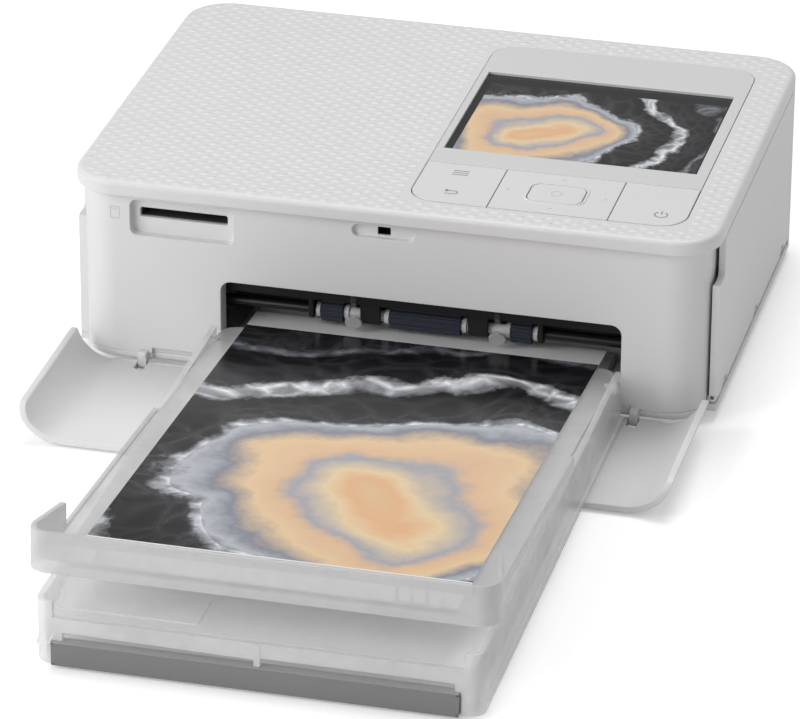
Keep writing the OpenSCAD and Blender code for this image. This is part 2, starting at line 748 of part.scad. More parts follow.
module screen_module() color("dimgray") in_frame() {
    block(window_x - 0.5, window_x + window_w + 0.5, window_y0 - 0.5, window_y0 + window_d + 0.5,
        module_z0, bed_z);
    block(window_x + 2, window_x + window_w - 2, window_y0 + 2, window_y0 + window_d - 2,
        bed_z - eps, ceiling_z - 0.1);
}

module key_board() color(board_green) in_frame() {
    block(panel_x + 2, panel_x1 - 2, panel_y + 1, window_y0 - 1, board_z, board_z + 1.2);
    for (x = [left_key_x, right_key_x], y = [-plunger_y, plunger_y])
        rod_z(x, key_y + y, board_z + 1, switch_z, 1.6);
    rod_z(nav_x, key_y, board_z + 1, stem_z - key_travel - 0.1, 1.6);
    for (x = [panel_x + 5, panel_x1 - 5], y = [panel_y + 4, window_y0 - 4])
        rod_z(x, y, board_z + 1, bed_z, 1.5);
}

// Rocking key: its plan is the stretch of the panel between x0 and x1.
module rocker(x0, x1, x) {
    translate([0, 0, key_z0]) linear_extrude(key_z1 - key_z0) intersection() {
        panel_plan(key_gap);
        translate([x0, panel_y]) square([x1 - x0, key_d - key_gap / 2]);
    }
    rod_x(x - 5, x + 5, key_y, axle_z, axle_r);
    block(x - 5, x + 5, key_y - 0.4, key_y + 0.4, axle_z, key_z0 + eps);
    for (y = [-plunger_y, plunger_y]) rod_z(x, key_y + y, bed_z + 0.2, key_z0 + eps, plunger_r);
}

module menu_back_key() color(shell_white) in_frame()
    rocker(panel_x, key_x1 - key_gap / 2, left_key_x);

module wireless_power_key() color(shell_white) in_frame()
    rocker(key_x2 + key_gap / 2, panel_x1, right_key_x);

module nav_gimbal() color("dimgray") in_frame() difference() {
    union() {
        block(nav_x - ring_w / 2, nav_x + ring_w / 2, key_y - ring_d / 2, key_y + ring_d / 2,
            ring_z0, ring_z1);
        rod_x(nav_x - ring_w / 2 - 1.8, nav_x + ring_w / 2 + 1.8, key_y, pivot_z, pivot_r);
    }
    block(nav_x - ring_w / 2 + ring_bar, nav_x + ring_w / 2 - ring_bar,
        key_y - ring_d / 2 + ring_bar, key_y + ring_d / 2 - ring_bar, ring_z0 - cut, ring_z1 + cut);
    rod_y(nav_x, key_y - ring_d, key_y + ring_d, pivot_z, pivot_r + run_fit);
}

module ok_plan(grow) {
    round_rect(nav_x - ok_w / 2 - grow, nav_x + ok_w / 2 + grow,
        key_y - ok_d / 2 - grow, key_y + ok_d / 2 + grow, 3 + grow);
}

module nav_key() color(shell_white) in_frame() {
    translate([0, 0, key_z0]) linear_extrude(key_z1 - key_z0) difference() {
        intersection() {
            panel_plan(key_gap);
            translate([key_x1 + key_gap / 2, panel_y])
                square([key_x2 - key_x1 - key_gap, key_d - key_gap / 2]);
        }
        ok_plan(key_gap);
    }
    for (s = [0, 1]) translate([0, key_y, 0]) mirror([0, s, 0]) {
        block(nav_x - 1.4, nav_x + 1.4, ring_d / 2 + 0.4, ring_d / 2 + 1.6, ring_z0 + 0.2,
            key_z0 + eps);
        rod_y(nav_x, ring_d / 2 - ring_bar + 0.2, ring_d / 2 + 1, pivot_z, pivot_r);
    }
}

module ok_key() color(shell_white) in_frame() {
    translate([0, 0, key_z0]) linear_extrude(body_h + 0.1 - key_z0) ok_plan(0);
    block(nav_x - 3, nav_x + 3, key_y - 2.6, key_y + 2.6, stem_z, key_z0 + eps);
}

module plate_bores() {
    rod_x(frame_x0 - cut * 2, frame_x1 + cut * 2, exit_y, exit_z, exit_shaft_r + run_fit);
    rod_x(frame_x0 - cut * 2, frame_x1 + cut * 2, grip_y, grip_z, grip_journal_r + run_fit);
    rod_x(frame_x0 - cut * 2, frame_x1 + cut * 2, grip_y, pinch_z, pinch_journal_r + run_fit);
    rod_x(frame_x0 - cut * 2, frame_x1 + cut * 2, platen_y, platen_z, platen_shaft_r + run_fit);
    rod_x(frame_x0 - cut * 2, frame_x0 + cut, takeup_y, spool_z, drive_r + run_fit);
}

module frame_plates() color(steel) in_frame() {
    difference() {
        union() {
            block(frame_x0 - frame_t, frame_x0, frame_y0, frame_y1, floor_z, frame_z1);
            block(frame_x1, frame_x1 + frame_t, frame_y0, frame_y1, floor_z, frame_z1);
            block(frame_x0 - eps, frame_x1 + eps, 37, frame_y1 - 2, floor_z, floor_z + frame_t);
        }
        plate_bores();
        block(frame_x0 - 4, frame_x0 + 2, 0, 36, recess_z - recess_h / 2 - 1, body_h);
        side_plate(27, 99, spool_z - chamber_r - 0.3, frame_z1 - 1.6, frame_x1 - cut,
            frame_x1 + 2 * cut, 2);
        block(path_x - 56, path_x + 56, platen_y - 9, platen_y + 9, 0, floor_z + frame_t + cut);
    }
    rod_x(gear_x - 0.4, frame_x0 - eps, idler_c[0], idler_c[1], stud_r);
    for (c = [motor_c + [0, 9], motor_c + [9, 0], ribbon_c + [0, -8], ribbon_c + [8, 0]])
        rod_x(motor_x, frame_x0 - eps, c[0], c[1], 1.2);
    rod_x(frame_x0 - eps, frame_x0 + 9, head_pivot_y, head_pivot_z, head_pivot_r);
    rod_x(frame_x1 - 9, frame_x1 + eps, head_pivot_y, head_pivot_z, head_pivot_r);
}

module motor(c, r) difference() {
    union() {
        rod_x(motor_x - motor_l, motor_x, c[0], c[1], r);
        rod_x(motor_x - eps, motor_x + 1.2, c[0], c[1], 3);
    }
    rod_x(motor_x - motor_l / 2, motor_x + 2, c[0], c[1], motor_shaft_r + run_fit);
}

module feed_motor() color(steel) in_frame() motor(motor_c, feed_motor_r);
module ribbon_motor() color(steel) in_frame() motor(ribbon_c, ribbon_motor_r);

module pinion(c, teeth, turn) {
    gear_at(c, teeth, motor_shaft_r - 0.2, turn);
    rod_x(motor_x - motor_l / 2 + 0.4, gear_x + gear_w, c[0], c[1], motor_shaft_r);
}

module motor_pinion() color("goldenrod") in_frame() pinion(motor_c, pinion_teeth, motor_turn);
module ribbon_pinion() color("goldenrod") in_frame() pinion(ribbon_c, ribbon_teeth, ribbon_turn);

module idler_gear() color(gear_white) in_frame()
    gear_at(idler_c, idler_teeth, stud_r + run_fit, idler_turn);
module exit_gear() color(gear_white) in_frame() gear_at(exit_c, exit_teeth, exit_shaft_r, exit_turn);
module grip_gear() color(gear_white) in_frame() gear_at(grip_c, grip_teeth, grip_journal_r, 0);

module exit_shaft() color("whitesmoke") in_frame() {
    rod_x(gear_x, frame_x1 + frame_t + 0.8, exit_y, exit_z, exit_shaft_r);
    for (x = [-31.6, -23.4, -12, 10, 22.4, 30.2]) rod_x(path_x + x, path_x + x + 1.2, exit_y, exit_z, 2.1);
}

module exit_rollers() color(rubber_blue) in_frame()
    for (p = [[-30, 6.2], [-10.4, 20], [24, 5.8]]) translate([path_x + p[0], exit_y, exit_z])
        rotate([90, 0, 90]) linear_extrude(p[1]) difference() {
            circle(exit_r);
            circle(exit_shaft_r);
            for (i = [1:rib_count]) rotate(i * 360 / rib_count) translate([exit_r, 0]) circle(0.4);
        }

module exit_guide() color(part_black) in_frame() difference() {
    union() {
        block(frame_x0, frame_x1, frame_y0, 18, exit_z + 4.4, exit_z + 9);
        block(mouth_x0, mouth_x1, 17, 18.4, exit_z - 0.4, exit_z + 5);
        for (x = [-18.6, 12])
            side_plate(9.4, 16, exit_z - 2.2, exit_z + 6, path_x + x, path_x + x + 5.6, 2);
        for (x = [-33.4, 31.8])
            side_plate(9.4, 16, exit_z - 2.2, exit_z + 6, path_x + x, path_x + x + 1.4, 2);
    }
    rod_x(frame_x0, frame_x1, exit_y, exit_z, exit_shaft_r + run_fit);
}

// Clear tabs that hold the sheet down, on narrow stems in front of the shaft.
module guide_fingers() color(frosted) in_frame() for (x = [-20.1, 20.7]) {
    face_plate(path_x + x - finger_w / 2, path_x + x + finger_w / 2, exit_z - 2.4, exit_z + 0.6,
        frame_y0 - 1, frame_y0, 1.4);
    block(path_x + x - 0.7, path_x + x + 0.7, frame_y0 - 1, frame_y0, exit_z, exit_z + 7);
}

module grip_roller() color(steel) in_frame() {
    rod_x(gear_x, frame_x1 + frame_t + 0.8, grip_y, grip_z, grip_journal_r);
    rod_x(path_x - roller_x, path_x + roller_x, grip_y, grip_z, grip_r);
}

module pinch_roller() color(part_black) in_frame() {
    rod_x(frame_x0 - frame_t - 0.8, frame_x1 + frame_t + 0.8, grip_y, pinch_z, pinch_journal_r);
    rod_x(path_x - roller_x, path_x + roller_x, grip_y, pinch_z, pinch_r);
}

module platen_shaft() color(steel) in_frame()
    rod_x(frame_x0 - frame_t - 0.8, frame_x1 + frame_t + 0.8, platen_y, platen_z, platen_shaft_r);

module platen_rubber() color(part_black) in_frame() difference() {
    rod_x(path_x - roller_x, path_x + roller_x, platen_y, platen_z, platen_r);
    rod_x(path_x - roller_x - 1, path_x + roller_x + 1, platen_y, platen_z, platen_shaft_r);
}

module head_bracket() color(steel) in_frame() difference() {
    union() {
        block(frame_x0 + 5, frame_x1 - 5, platen_y - 6, head_pivot_y + 1.6, bracket_z,
            bracket_z + bracket_t);
        for (x = [frame_x0 + 5, frame_x1 - 6.2])
            side_plate(head_pivot_y - 2.6, head_pivot_y + 2.6, head_pivot_z - 2.8, bracket_z + 0.4,
                x, x + 1.2, 1);
    }
    rod_x(frame_x0, frame_x1, head_pivot_y, head_pivot_z, head_pivot_r + run_fit);
}

module thermal_head() color("silver") in_frame() difference() {
    union() {
        block(film_x0 - 1, film_x1 + 1, platen_y - head_d / 2, platen_y + head_d / 2, 26, bracket_z);
        along_x(film_x0 - 1, film_x1 + 1) polygon([
            [platen_y - 7, 26 + eps], [platen_y - 2.4, film_z + film_t + 0.2],
            [platen_y + 2.4, film_z + film_t + 0.2], [platen_y + 7, 26 + eps]]);
    }
    for (y = [-6, -2, 2, 6]) block(film_x0 - 2, film_x1 + 2, platen_y + y - 1.1, platen_y + y + 1.1, 31, 45);
}

module chamber(y) difference() {
    rod_x(ink_x0, ink_x1, y, spool_z, chamber_r);
    rod_x(ink_x0 + 1.4, ink_x1 - 1.4, y, spool_z, chamber_r - 1);
    rod_x(ink_x0 - cut, ink_x1 + cut, y, spool_z, journal_r + run_fit);
}

module ink_cassette() color("silver") in_frame() difference() {
    union() {
        chamber(supply_y);
        chamber(takeup_y);
        block(ink_x1 - 1.4, ink_x1, supply_y + chamber_r - 1, takeup_y - chamber_r + 1, spool_z - 5,
            spool_z + 8);
        block(ink_x1 - eps, ink_grip_x, platen_y - 9, platen_y + 9, spool_z - 1, spool_z + 1.2);
        block(ink_grip_x - 2, ink_grip_x, platen_y - 9, platen_y + 9, spool_z - 6, spool_z + 6);
    }
    // Slits where the film leaves and enters.
    block(ink_x0 + 1.4, ink_x1 - 1.4, supply_y, supply_y + chamber_r, spool_z - chamber_r - 1,
        spool_z - 6.6);
    block(ink_x0 + 1.4, ink_x1 - 1.4, takeup_y - chamber_r, takeup_y, spool_z - chamber_r - 1,
        spool_z - 4);
}

module spool(y, film_r) difference() {
    union() {
        rod_x(ink_x0 - 1.5, ink_x1 + 0.6, y, spool_z, journal_r);
        rod_x(ink_x0 + 1.6, ink_x1 - 1.6, y, spool_z, core_r);
        rod_x(film_x0, film_x1, y, spool_z, film_r);
    }
    block(ink_x0 - 1.5 - cut, ink_x0 - 0.1, y - dog_t / 2 - 0.15, y + dog_t / 2 + 0.15,
        spool_z - journal_r - cut, spool_z + journal_r + cut);
}

module supply_spool() color([0.25, 0.2, 0.3]) in_frame() spool(supply_y, supply_r);
module takeup_spool() color([0.25, 0.2, 0.3]) in_frame() spool(takeup_y, takeup_r);

module takeup_drive() color(gear_white) in_frame() {
    gear_at(takeup_c, takeup_teeth, drive_r - 0.2, 0);
    rod_x(gear_x, ink_x0 - 5, takeup_y, spool_z, drive_r);
    rod_x(frame_x0 + 0.5, ink_x0 - 1.9, takeup_y, spool_z, journal_r);
    block(ink_x0 - 2, ink_x0 - 0.5, takeup_y - dog_t / 2, takeup_y + dog_t / 2,
        spool_z - 2.6, spool_z + 2.6);
}

// The film runs down under the head's edge and up again.
module ribbon_film() color([0.6, 0.5, 0.2]) in_frame() along_x(film_x0 + 1, film_x1 - 1) polygon([
    [supply_y + 1, spool_z - supply_r - 0.6], [platen_y - 4, film_z + film_t],
    [platen_y + 4, film_z + film_t], [takeup_y - 1, spool_z - takeup_r - 0.6],
    [takeup_y - 1, spool_z - takeup_r - 0.9], [platen_y + 4, film_z],
    [platen_y - 4, film_z], [supply_y + 1, spool_z - supply_r - 0.9]]);

module main_board() color(board_green) in_frame() {
    block(board_x0, board_x1, board_y0, board_y1, circuit_z, circuit_z + circuit_t);
    for (c = [[-40, 6, 14, 2], [-12, 4, 18, 2.4], [30, 8, 12, 3], [55, 4, 9, 4]])
        block(c[0], c[0] + c[2], board_y0 + c[1], board_y0 + c[1] + c[2] * 0.8, circuit_z + circuit_t - eps,
            circuit_z + circuit_t + c[3]);
}

jack_x = left_in_x + 16.1;
jack_z = circuit_z + circuit_t + 5.5;
usb_x = jack_x + 17;
usb_z = circuit_z + circuit_t + 2.2;

module power_jack() color(part_black) in_frame() {
    difference() {
        block(jack_x - 5, jack_x + 5, body_d - wall - 13, body_d - wall, circuit_z + circuit_t,
            jack_z + 5.5);
        rod_y(jack_x, body_d - wall - 10, body_d, jack_z, 3.1);
    }
    rod_y(jack_x, body_d - wall - 12, body_d - wall - 1, jack_z, 1);
}

module usb_port() color(steel) in_frame() difference() {
    face_plate(usb_x - 4.6, usb_x + 4.6, circuit_z + circuit_t, usb_z + 1.9, body_d - wall - 8,
        body_d - wall, 1.7);
    face_plate(usb_x - 4.2, usb_x + 4.2, usb_z - 1.5, usb_z + 1.5, body_d - wall - 7, body_d, 1.4);
}

module card_reader() color("dimgray") in_frame() difference() {
    block(card_x - card_w / 2 - 2, card_x + card_w / 2 + 2, pocket_y, pocket_y + 27,
        recess_z - recess_h / 2 + 2.6, card_z + card_h / 2 + 1.4);
    block(card_x - card_w / 2 + 0.1, card_x + card_w / 2 - 0.1, 0, pocket_y + 25, card_z - card_h / 2 + 0.1,
        card_z + card_h / 2 - 0.1);
}

module fan_housing() color(part_black) in_frame() {
    difference() {
        face_plate(fan_x - fan_box / 2, fan_x + fan_box / 2, fan_z - fan_box / 2, fan_z + fan_box / 2,
            body_d - wall - fan_t, body_d - wall, 2);
        rod_y(fan_x, body_d - wall - fan_t - cut, body_d, fan_z, fan_r + 0.6);
    }
    block(fan_x - fan_box / 2 + 0.5, fan_x + fan_box / 2 - 0.5, body_d - wall - 1.4, body_d - wall,
        fan_z - 1, fan_z + 1);
    rod_y(fan_x, body_d - wall - fan_t + 1, body_d - wall, fan_z, 1);
}

module fan_rotor() color("dimgray") in_frame() difference() {
    union() {
        rod_y(fan_x, body_d - wall - fan_t + 0.6, body_d - wall - 2, fan_z, 4);
        for (i = [0:6]) translate([fan_x, body_d - wall - fan_t / 2 - 0.7, fan_z])
            rotate([0, i * 360 / 7, 0]) translate([fan_r / 2 + 1.4, 0, 0]) rotate([35, 0, 0])
                cube([fan_r - 3.2, 0.8, 5.2], center = true);
    }
    rod_y(fan_x, 0, body_d, fan_z, 1 + run_fit);
}

// Plan of the cassette, round in front and square behind.
module cass_plan(inset) {
    difference() {
        round_rect(cass_x0 + inset, cass_x1 - inset, cass_y0 + inset, cass_r, cass_r - inset);
        translate([cass_x0 - cut, cass_y1 - inset]) square([cass_w + 2 * cut, 2 * cass_r]);
    }
}

module cassette_base() color(frosted) in_frame() difference() {
    union() {
        translate([0, 0, cass_under_z]) linear_extrude(cass_wall) cass_plan(0);
        translate([0, 0, cass_under_z]) linear_extrude(cass_z - cass_under_z) difference() {
            cass_plan(0);
            cass_plan(cass_wall);
        }
        // Skids below the side walls in front of the door.
        translate([0, 0, skid_z]) linear_extrude(cass_under_z - skid_z + eps) difference() {
            cass_plan(0);
            cass_plan(cass_wall);
            translate([cass_x0 - cut, door_reach - 2]) square([cass_w + 2 * cut, cass_reach]);
        }
        // Ledge along the lower edge of each side.
        for (x = [cass_x0 - 0.8, cass_x1 - eps])
            block(x, x + 0.8, cass_y0 + cass_r, cass_y1, cass_under_z, cass_under_z + 1.4);
        for (x = [-44, 0, 44]) block(path_x + x - 0.6, path_x + x + 0.6, cass_y0 + 8, cass_y1,
            cass_under_z + cass_wall - eps, stack_z);
        for (x = [cass_x0 + cass_wall - eps, cass_x1 - cass_wall - 1.6])
            block(x, x + 1.6, cass_y0 + 16.2, inner_y1 - 24, inner_z - 1.4, inner_z - 0.1);
        slab(path_x - neck_w / 2, path_x + neck_w / 2, neck_y0, neck_d, neck_z0, neck_z1, 3);
        // Middle rib and end lugs of the front wall.
        block(path_x - 0.8, path_x + 0.8, cass_y0 - 0.4, cass_y0 + cass_wall, bar_z1, cass_front_z + 0.6);
        for (x = [cass_x0 + 2.6, cass_x1 - 4.8])
            block(x, x + 2.2, cass_y0 + 0.6, cass_y0 + 8, skid_z, bar_z1 + 1);
    }
    // Room for the paper, through the rear wall into the neck.
    slab(path_x - neck_w / 2 + 2, path_x + neck_w / 2 - 2, neck_y0 - 2, neck_d - 2, stack_z,
        neck_z1 + cut, 2);
    block(path_x - neck_w / 2 + 2, path_x + neck_w / 2 - 2, cass_y1 - cass_wall - cut, cass_y1 + cut,
        stack_z, cass_z + cut);
    block(cass_x0 + cass_corner_w, cass_x1 - cass_corner_w, cass_y0 - cut, cass_y0 + cass_wall + cut,
        cass_front_z, cass_z + cut);
    // Slit above the bar, on both sides of the middle rib.
    for (x = [[cass_x0 + slit_in, path_x - 0.8], [path_x + 0.8, cass_x1 - slit_in]])
        block(x[0], x[1], cass_y0 - cut, cass_y0 + cass_wall + eps, bar_z1, bar_z1 + slit_h);
    block(path_x - tray_neck_w / 2 - 0.4, path_x + tray_neck_w / 2 + 0.4, cass_y1 - cass_wall - cut,
        cass_y1 + cut, neck_z1, cass_z + cut);
    block(bar_x - bar_w / 2 - 0.15, bar_x + bar_w / 2 + 0.15, cass_y0 - cut, bar_y1, 0, bar_z1 + 0.2);
    rod_x(cass_x0 - cut, cass_x1 + cut, hinge_y, hinge_z, tray_pin_r + run_fit);
    rod_x(cass_x0 + 0.8, cass_x1 - 0.8, inner_y1, inner_z + inner_t / 2, inner_pin_r + run_fit);
}

module front_bar() color("gray") in_frame()
    face_plate(bar_x - bar_w / 2, bar_x + bar_w / 2, skid_z, bar_z1, -cass_reach, bar_y1, 0.4);

module paper_stack() color("white") in_frame() block(path_x - paper_w / 2, path_x + paper_w / 2,
    neck_d - stack_back - sheet_l, neck_d - stack_back, stack_z, stack_z + stack_t);

module inner_cover() color(frosted) in_frame() {
    w = cass_w - 2 * cass_wall - 2;
    slab(path_x - w / 2, path_x + w / 2, inner_y0, inner_y1 + 1, inner_z, inner_z + inner_t, 2.6);
    slab(path_x - 54, path_x - 17, inner_y0 + 4, inner_y0 + 17, inner_z + inner_t - eps,
        inner_z + inner_t + 0.3, 1);
    for (y = [inner_y0 + 24, inner_y1 - 8]) block(path_x - w / 2 + 8, path_x + w / 2 - 8, y - 0.6, y + 0.6,
        inner_z + inner_t - eps, inner_z + inner_t + 0.8);
    rod_x(path_x - w / 2 - 1.8, path_x + w / 2 + 1.8, inner_y1, inner_z + inner_t / 2, inner_pin_r);
}

// Plan of the tray's front, whose ears lean in behind round corners.
module tray_front_plan(inset, reach) {
    run = norm([tray_ear_d, tray_ear_in]);
    side = [tray_ear_d / run, -tray_ear_in / run];
    r = tray_ear_r - inset;
    c = [tray_ear_r * (run + tray_ear_in) / tray_ear_d - tray_front_w / 2, tray_ear_r - tray_l];
    rear_x = tray_front_w / 2 - tray_ear_in * reach / tray_ear_d - inset * run / tray_ear_d;
    polygon([c - r * side, [c[0], inset - tray_l], [-c[0], inset - tray_l],
        [r * side[0] - c[0], c[1] - r * side[1]], [rear_x, reach - tray_l], [-rear_x, reach - tray_l]]);
    for (x = [c[0], -c[0]]) translate([x, c[1]]) circle(r);
}

module output_tray() color(frosted) in_tray() {
    top = tray_t / 2;
    slab(-tray_neck_w / 2, tray_neck_w / 2, shoulder_y - 10, tray_back, -top, top, 5);
    slab(-tray_w / 2, tray_w / 2, 2 - tray_l, shoulder_y, -top, top, 4);
    translate([0, 0, -top]) linear_extrude(tray_t) tray_front_plan(0, tray_ear_d);
    translate([0, 0, -top - tray_skirt]) linear_extrude(tray_t + tray_skirt + tray_wall_h)
        difference() {
            tray_front_plan(0, tray_ear_d);
            tray_front_plan(tray_ear_t, tray_ear_d + cut);
        }
    for (x = [-tray_w / 2, tray_w / 2 - 1.4])
        block(x, x + 1.4, tray_ear_d - tray_l - 0.5, shoulder_y - 4, top - eps, top + 1);
    for (x = [-41, 38, 46])
        block(x, x + 1, 1 - tray_l, sheet_y0 - 0.2, top - eps, top + tray_wall_h - 1);
    for (s = [0, 1]) mirror([s, 0, 0]) rod_x(tray_neck_w / 2 - 1.6, cass_w / 2, 0, 0, tray_pin_r);
}

module print_sheet() color("moccasin") in_tray()
    block(-paper_w / 2, paper_w / 2, sheet_y0, sheet_y0 + sheet_l, tray_t / 2 + 0.05,
        tray_t / 2 + 0.05 + sheet_t);

top_cover();
housing();
bottom_cover();
rear_cover();
feet();
screws();
door_catch();
front_door();
door_pins();
ink_door();
ink_door_pin();
control_panel();
screen_window();
screen_module();
key_board();
menu_back_key();
nav_gimbal();
nav_key();
ok_key();
wireless_power_key();
frame_plates();
main_board();
card_reader();
usb_port();
power_jack();
fan_housing();
fan_rotor();
feed_motor();
ribbon_motor();
motor_pinion();
idler_gear();
exit_guide();
guide_fingers();
exit_shaft();
exit_rollers();
exit_gear();
grip_roller();
grip_gear();
pinch_roller();
platen_shaft();
platen_rubber();
head_bracket();
thermal_head();
ink_cassette();
supply_spool();
takeup_spool();
ribbon_film();
takeup_drive();
ribbon_pinion();
cassette_base();
front_bar();
paper_stack();
inner_cover();
output_tray();
print_sheet();
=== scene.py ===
import json
import math

import bmesh
import bpy
from mathutils import Matrix, Vector


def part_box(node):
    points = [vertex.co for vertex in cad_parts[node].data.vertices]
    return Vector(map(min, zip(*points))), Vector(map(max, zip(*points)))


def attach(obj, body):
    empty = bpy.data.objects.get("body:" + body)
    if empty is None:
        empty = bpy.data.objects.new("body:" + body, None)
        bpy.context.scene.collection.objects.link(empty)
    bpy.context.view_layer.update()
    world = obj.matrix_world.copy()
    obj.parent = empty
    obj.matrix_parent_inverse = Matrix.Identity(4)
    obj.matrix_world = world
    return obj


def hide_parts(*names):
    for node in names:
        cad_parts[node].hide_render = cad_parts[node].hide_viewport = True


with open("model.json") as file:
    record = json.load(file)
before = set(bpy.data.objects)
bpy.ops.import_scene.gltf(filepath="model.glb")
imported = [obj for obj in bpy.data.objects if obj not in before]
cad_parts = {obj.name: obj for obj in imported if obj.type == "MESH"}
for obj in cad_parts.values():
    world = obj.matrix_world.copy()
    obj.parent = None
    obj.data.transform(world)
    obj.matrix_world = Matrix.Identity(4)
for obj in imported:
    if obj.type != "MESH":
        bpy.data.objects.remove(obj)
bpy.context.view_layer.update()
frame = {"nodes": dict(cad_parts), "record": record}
nodes = frame["nodes"]
record = frame["record"]
mm = 0.001
print("frame loaded:", len(nodes), "nodes")


# Camera, lamps, world and floor

cameraView = {
    "place": (0.32498, -1.28343, 0.67243),
    "turn": (63.728, -0.338, 13.980),  # degrees
    "lens": 244.03,
    "sensor": 36,
    "shift": (-0.0046, 0.0071),
    "clip": 20,
}


def addCamera(v):
    data = bpy.data.cameras.new("photoCamera")
    data.sensor_width = v["sensor"]
    data.lens = v["lens"]
    data.shift_x, data.shift_y = v["shift"]
    data.clip_end = v["clip"]
    camera = bpy.data.objects.new("photoCamera", data)
    camera.location = v["place"]
    camera.rotation_euler = [math.radians(a) for a in v["turn"]]
    bpy.context.scene.collection.objects.link(camera)
    bpy.context.scene.camera = camera


addCamera(cameraView)
bpy.context.scene.view_settings.view_transform = "Standard"

lamps = {
    "window": {"at": (-0.75, -0.6, 0.6), "size": 0.7, "power": 5.0},
    "card": {"at": (-0.6, -1.15, 0.3), "size": 0.6, "power": 2.75},
    "ceiling": {"at": (0.0, 0.6, 1.75), "size": 1.2, "power": 15.5},
}
worldLight = 0.34  # even light from all sides
floorPaper = {"half": 6, "colour": (0.93, 0.93, 0.93), "roughness": 0.9, "glow": 0.3}


def addLamps():
    for name, v in lamps.items():
        data = bpy.data.lights.new(name, "AREA")
        data.shape = "DISK"
        data.size = v["size"]
        data.energy = v["power"]
        lamp = bpy.data.objects.new(name, data)
        lamp.location = v["at"]
        lamp.rotation_euler = Vector(v["at"]).to_track_quat("Z", "Y").to_euler()
        lamp.visible_camera = False
        bpy.context.scene.collection.objects.link(lamp)


# white to the camera and through clear parts, dimmer as light
def addWorld():
    world = bpy.data.worlds.new("studio")
    world.use_nodes = True
    bpy.context.scene.world = world
    tree = world.node_tree
    back = tree.nodes["Background"]
    back.inputs["Color"].default_value = (1, 1, 1, 1)
    path = addNode(tree, "LightPath").outputs
    seen = math2(tree, "MAXIMUM", path["Is Camera Ray"], path["Is Transmission Ray"])
    level = addNode(tree, "MapRange", {"Value": seen, "To Min": worldLight, "To Max": 1.0})
    tree.links.new(level.outputs["Result"], back.inputs["Strength"])


def addFloor(v):
    bm = bmesh.new()
    bmesh.ops.create_grid(bm, x_segments=1, y_segments=1, size=v["half"])
    floor = meshObject("floor", bm, floorMaterial(v))


# the glow is for the camera alone and keeps the background white
def floorMaterial(v):
    material, tree, shader = newMaterial("floorPaper", v["colour"], v["roughness"])
    shader.inputs["Specular IOR Level"].default_value = 0.0
    shader.inputs["Emission Color"].default_value = (1, 1, 1, 1)
    seen = addNode(tree, "LightPath").outputs["Is Camera Ray"]
    tree.links.new(math2(tree, "MULTIPLY", seen, v["glow"]), shader.inputs["Emission Strength"])
    return material


def meshObject(name, bm, material):
    mesh = bpy.data.meshes.new(name)
    bm.to_mesh(mesh)
    bm.free()
    mesh.materials.append(material)
    obj = bpy.data.objects.new(name, mesh)
    bpy.context.scene.collection.objects.link(obj)
    return obj


# Node groups that several finishes share

def newGroup(name, ins, outs):
    group = bpy.data.node_groups.new(name, "ShaderNodeTree")
    for label, kind, value in ins:
        group.interface.new_socket(name=label, in_out="INPUT", socket_type=kind).default_value = value
    for label, kind in outs:
        group.interface.new_socket(name=label, in_out="OUTPUT", socket_type=kind)
    return group, group.nodes.new("NodeGroupInput"), group.nodes.new("NodeGroupOutput")


# an input given as a socket is linked, a plain value is set
def addNode(tree, kind, inputs=None, **settings):
    node = tree.nodes.new("ShaderNode" + kind)
    for key, value in settings.items():
        setattr(node, key, value)
    for key, value in (inputs or {}).items():
        if isinstance(value, bpy.types.NodeSocket):
            tree.links.new(value, node.inputs[key])
        else:
            node.inputs[key].default_value = value
    return node


def math2(tree, operation, a, b=None, c=None):
    values = {i: v for i, v in enumerate((a, b, c)) if v is not None}
    return addNode(tree, "Math", values, operation=operation).outputs[0]


def vector2(tree, operation, values):
    return addNode(tree, "VectorMath", values, operation=operation).outputs


# moulded grain: a fine height and a slow change of shade
grainLook = {"scale": 900.0, "patches": 25.0, "fineDetail": 3.0, "slowDetail": 2.0}


def grainGroup(v):
    group, gin, gout = newGroup("mouldedGrain",
        [("Scale", "NodeSocketFloat", v["scale"]), ("Patches", "NodeSocketFloat", v["patches"])],
        [("Height", "NodeSocketFloat"), ("Shade", "NodeSocketFloat")])
    place = addNode(group, "TexCoord").outputs["Object"]
    fine = addNode(group, "TexNoise",
        {"Vector": place, "Scale": gin.outputs["Scale"], "Detail": v["fineDetail"]})
    slow = addNode(group, "TexNoise",
        {"Vector": place, "Scale": gin.outputs["Patches"], "Detail": v["slowDetail"]})
    group.links.new(fine.outputs["Fac"], gout.inputs["Height"])
    group.links.new(slow.outputs["Fac"], gout.inputs["Shade"])
    return group


wearLook = {
    "radius": 0.0005, "breakUp": 300.0, "samples": 6,
    "flat": 0.99, "edge": 0.8,  # how far the rounded normal agrees with the flat one
    "detail": 2.0, "gain": 1.2, "least": 0.1,
    "lighter": 1.12, "lift": 0.02,
}


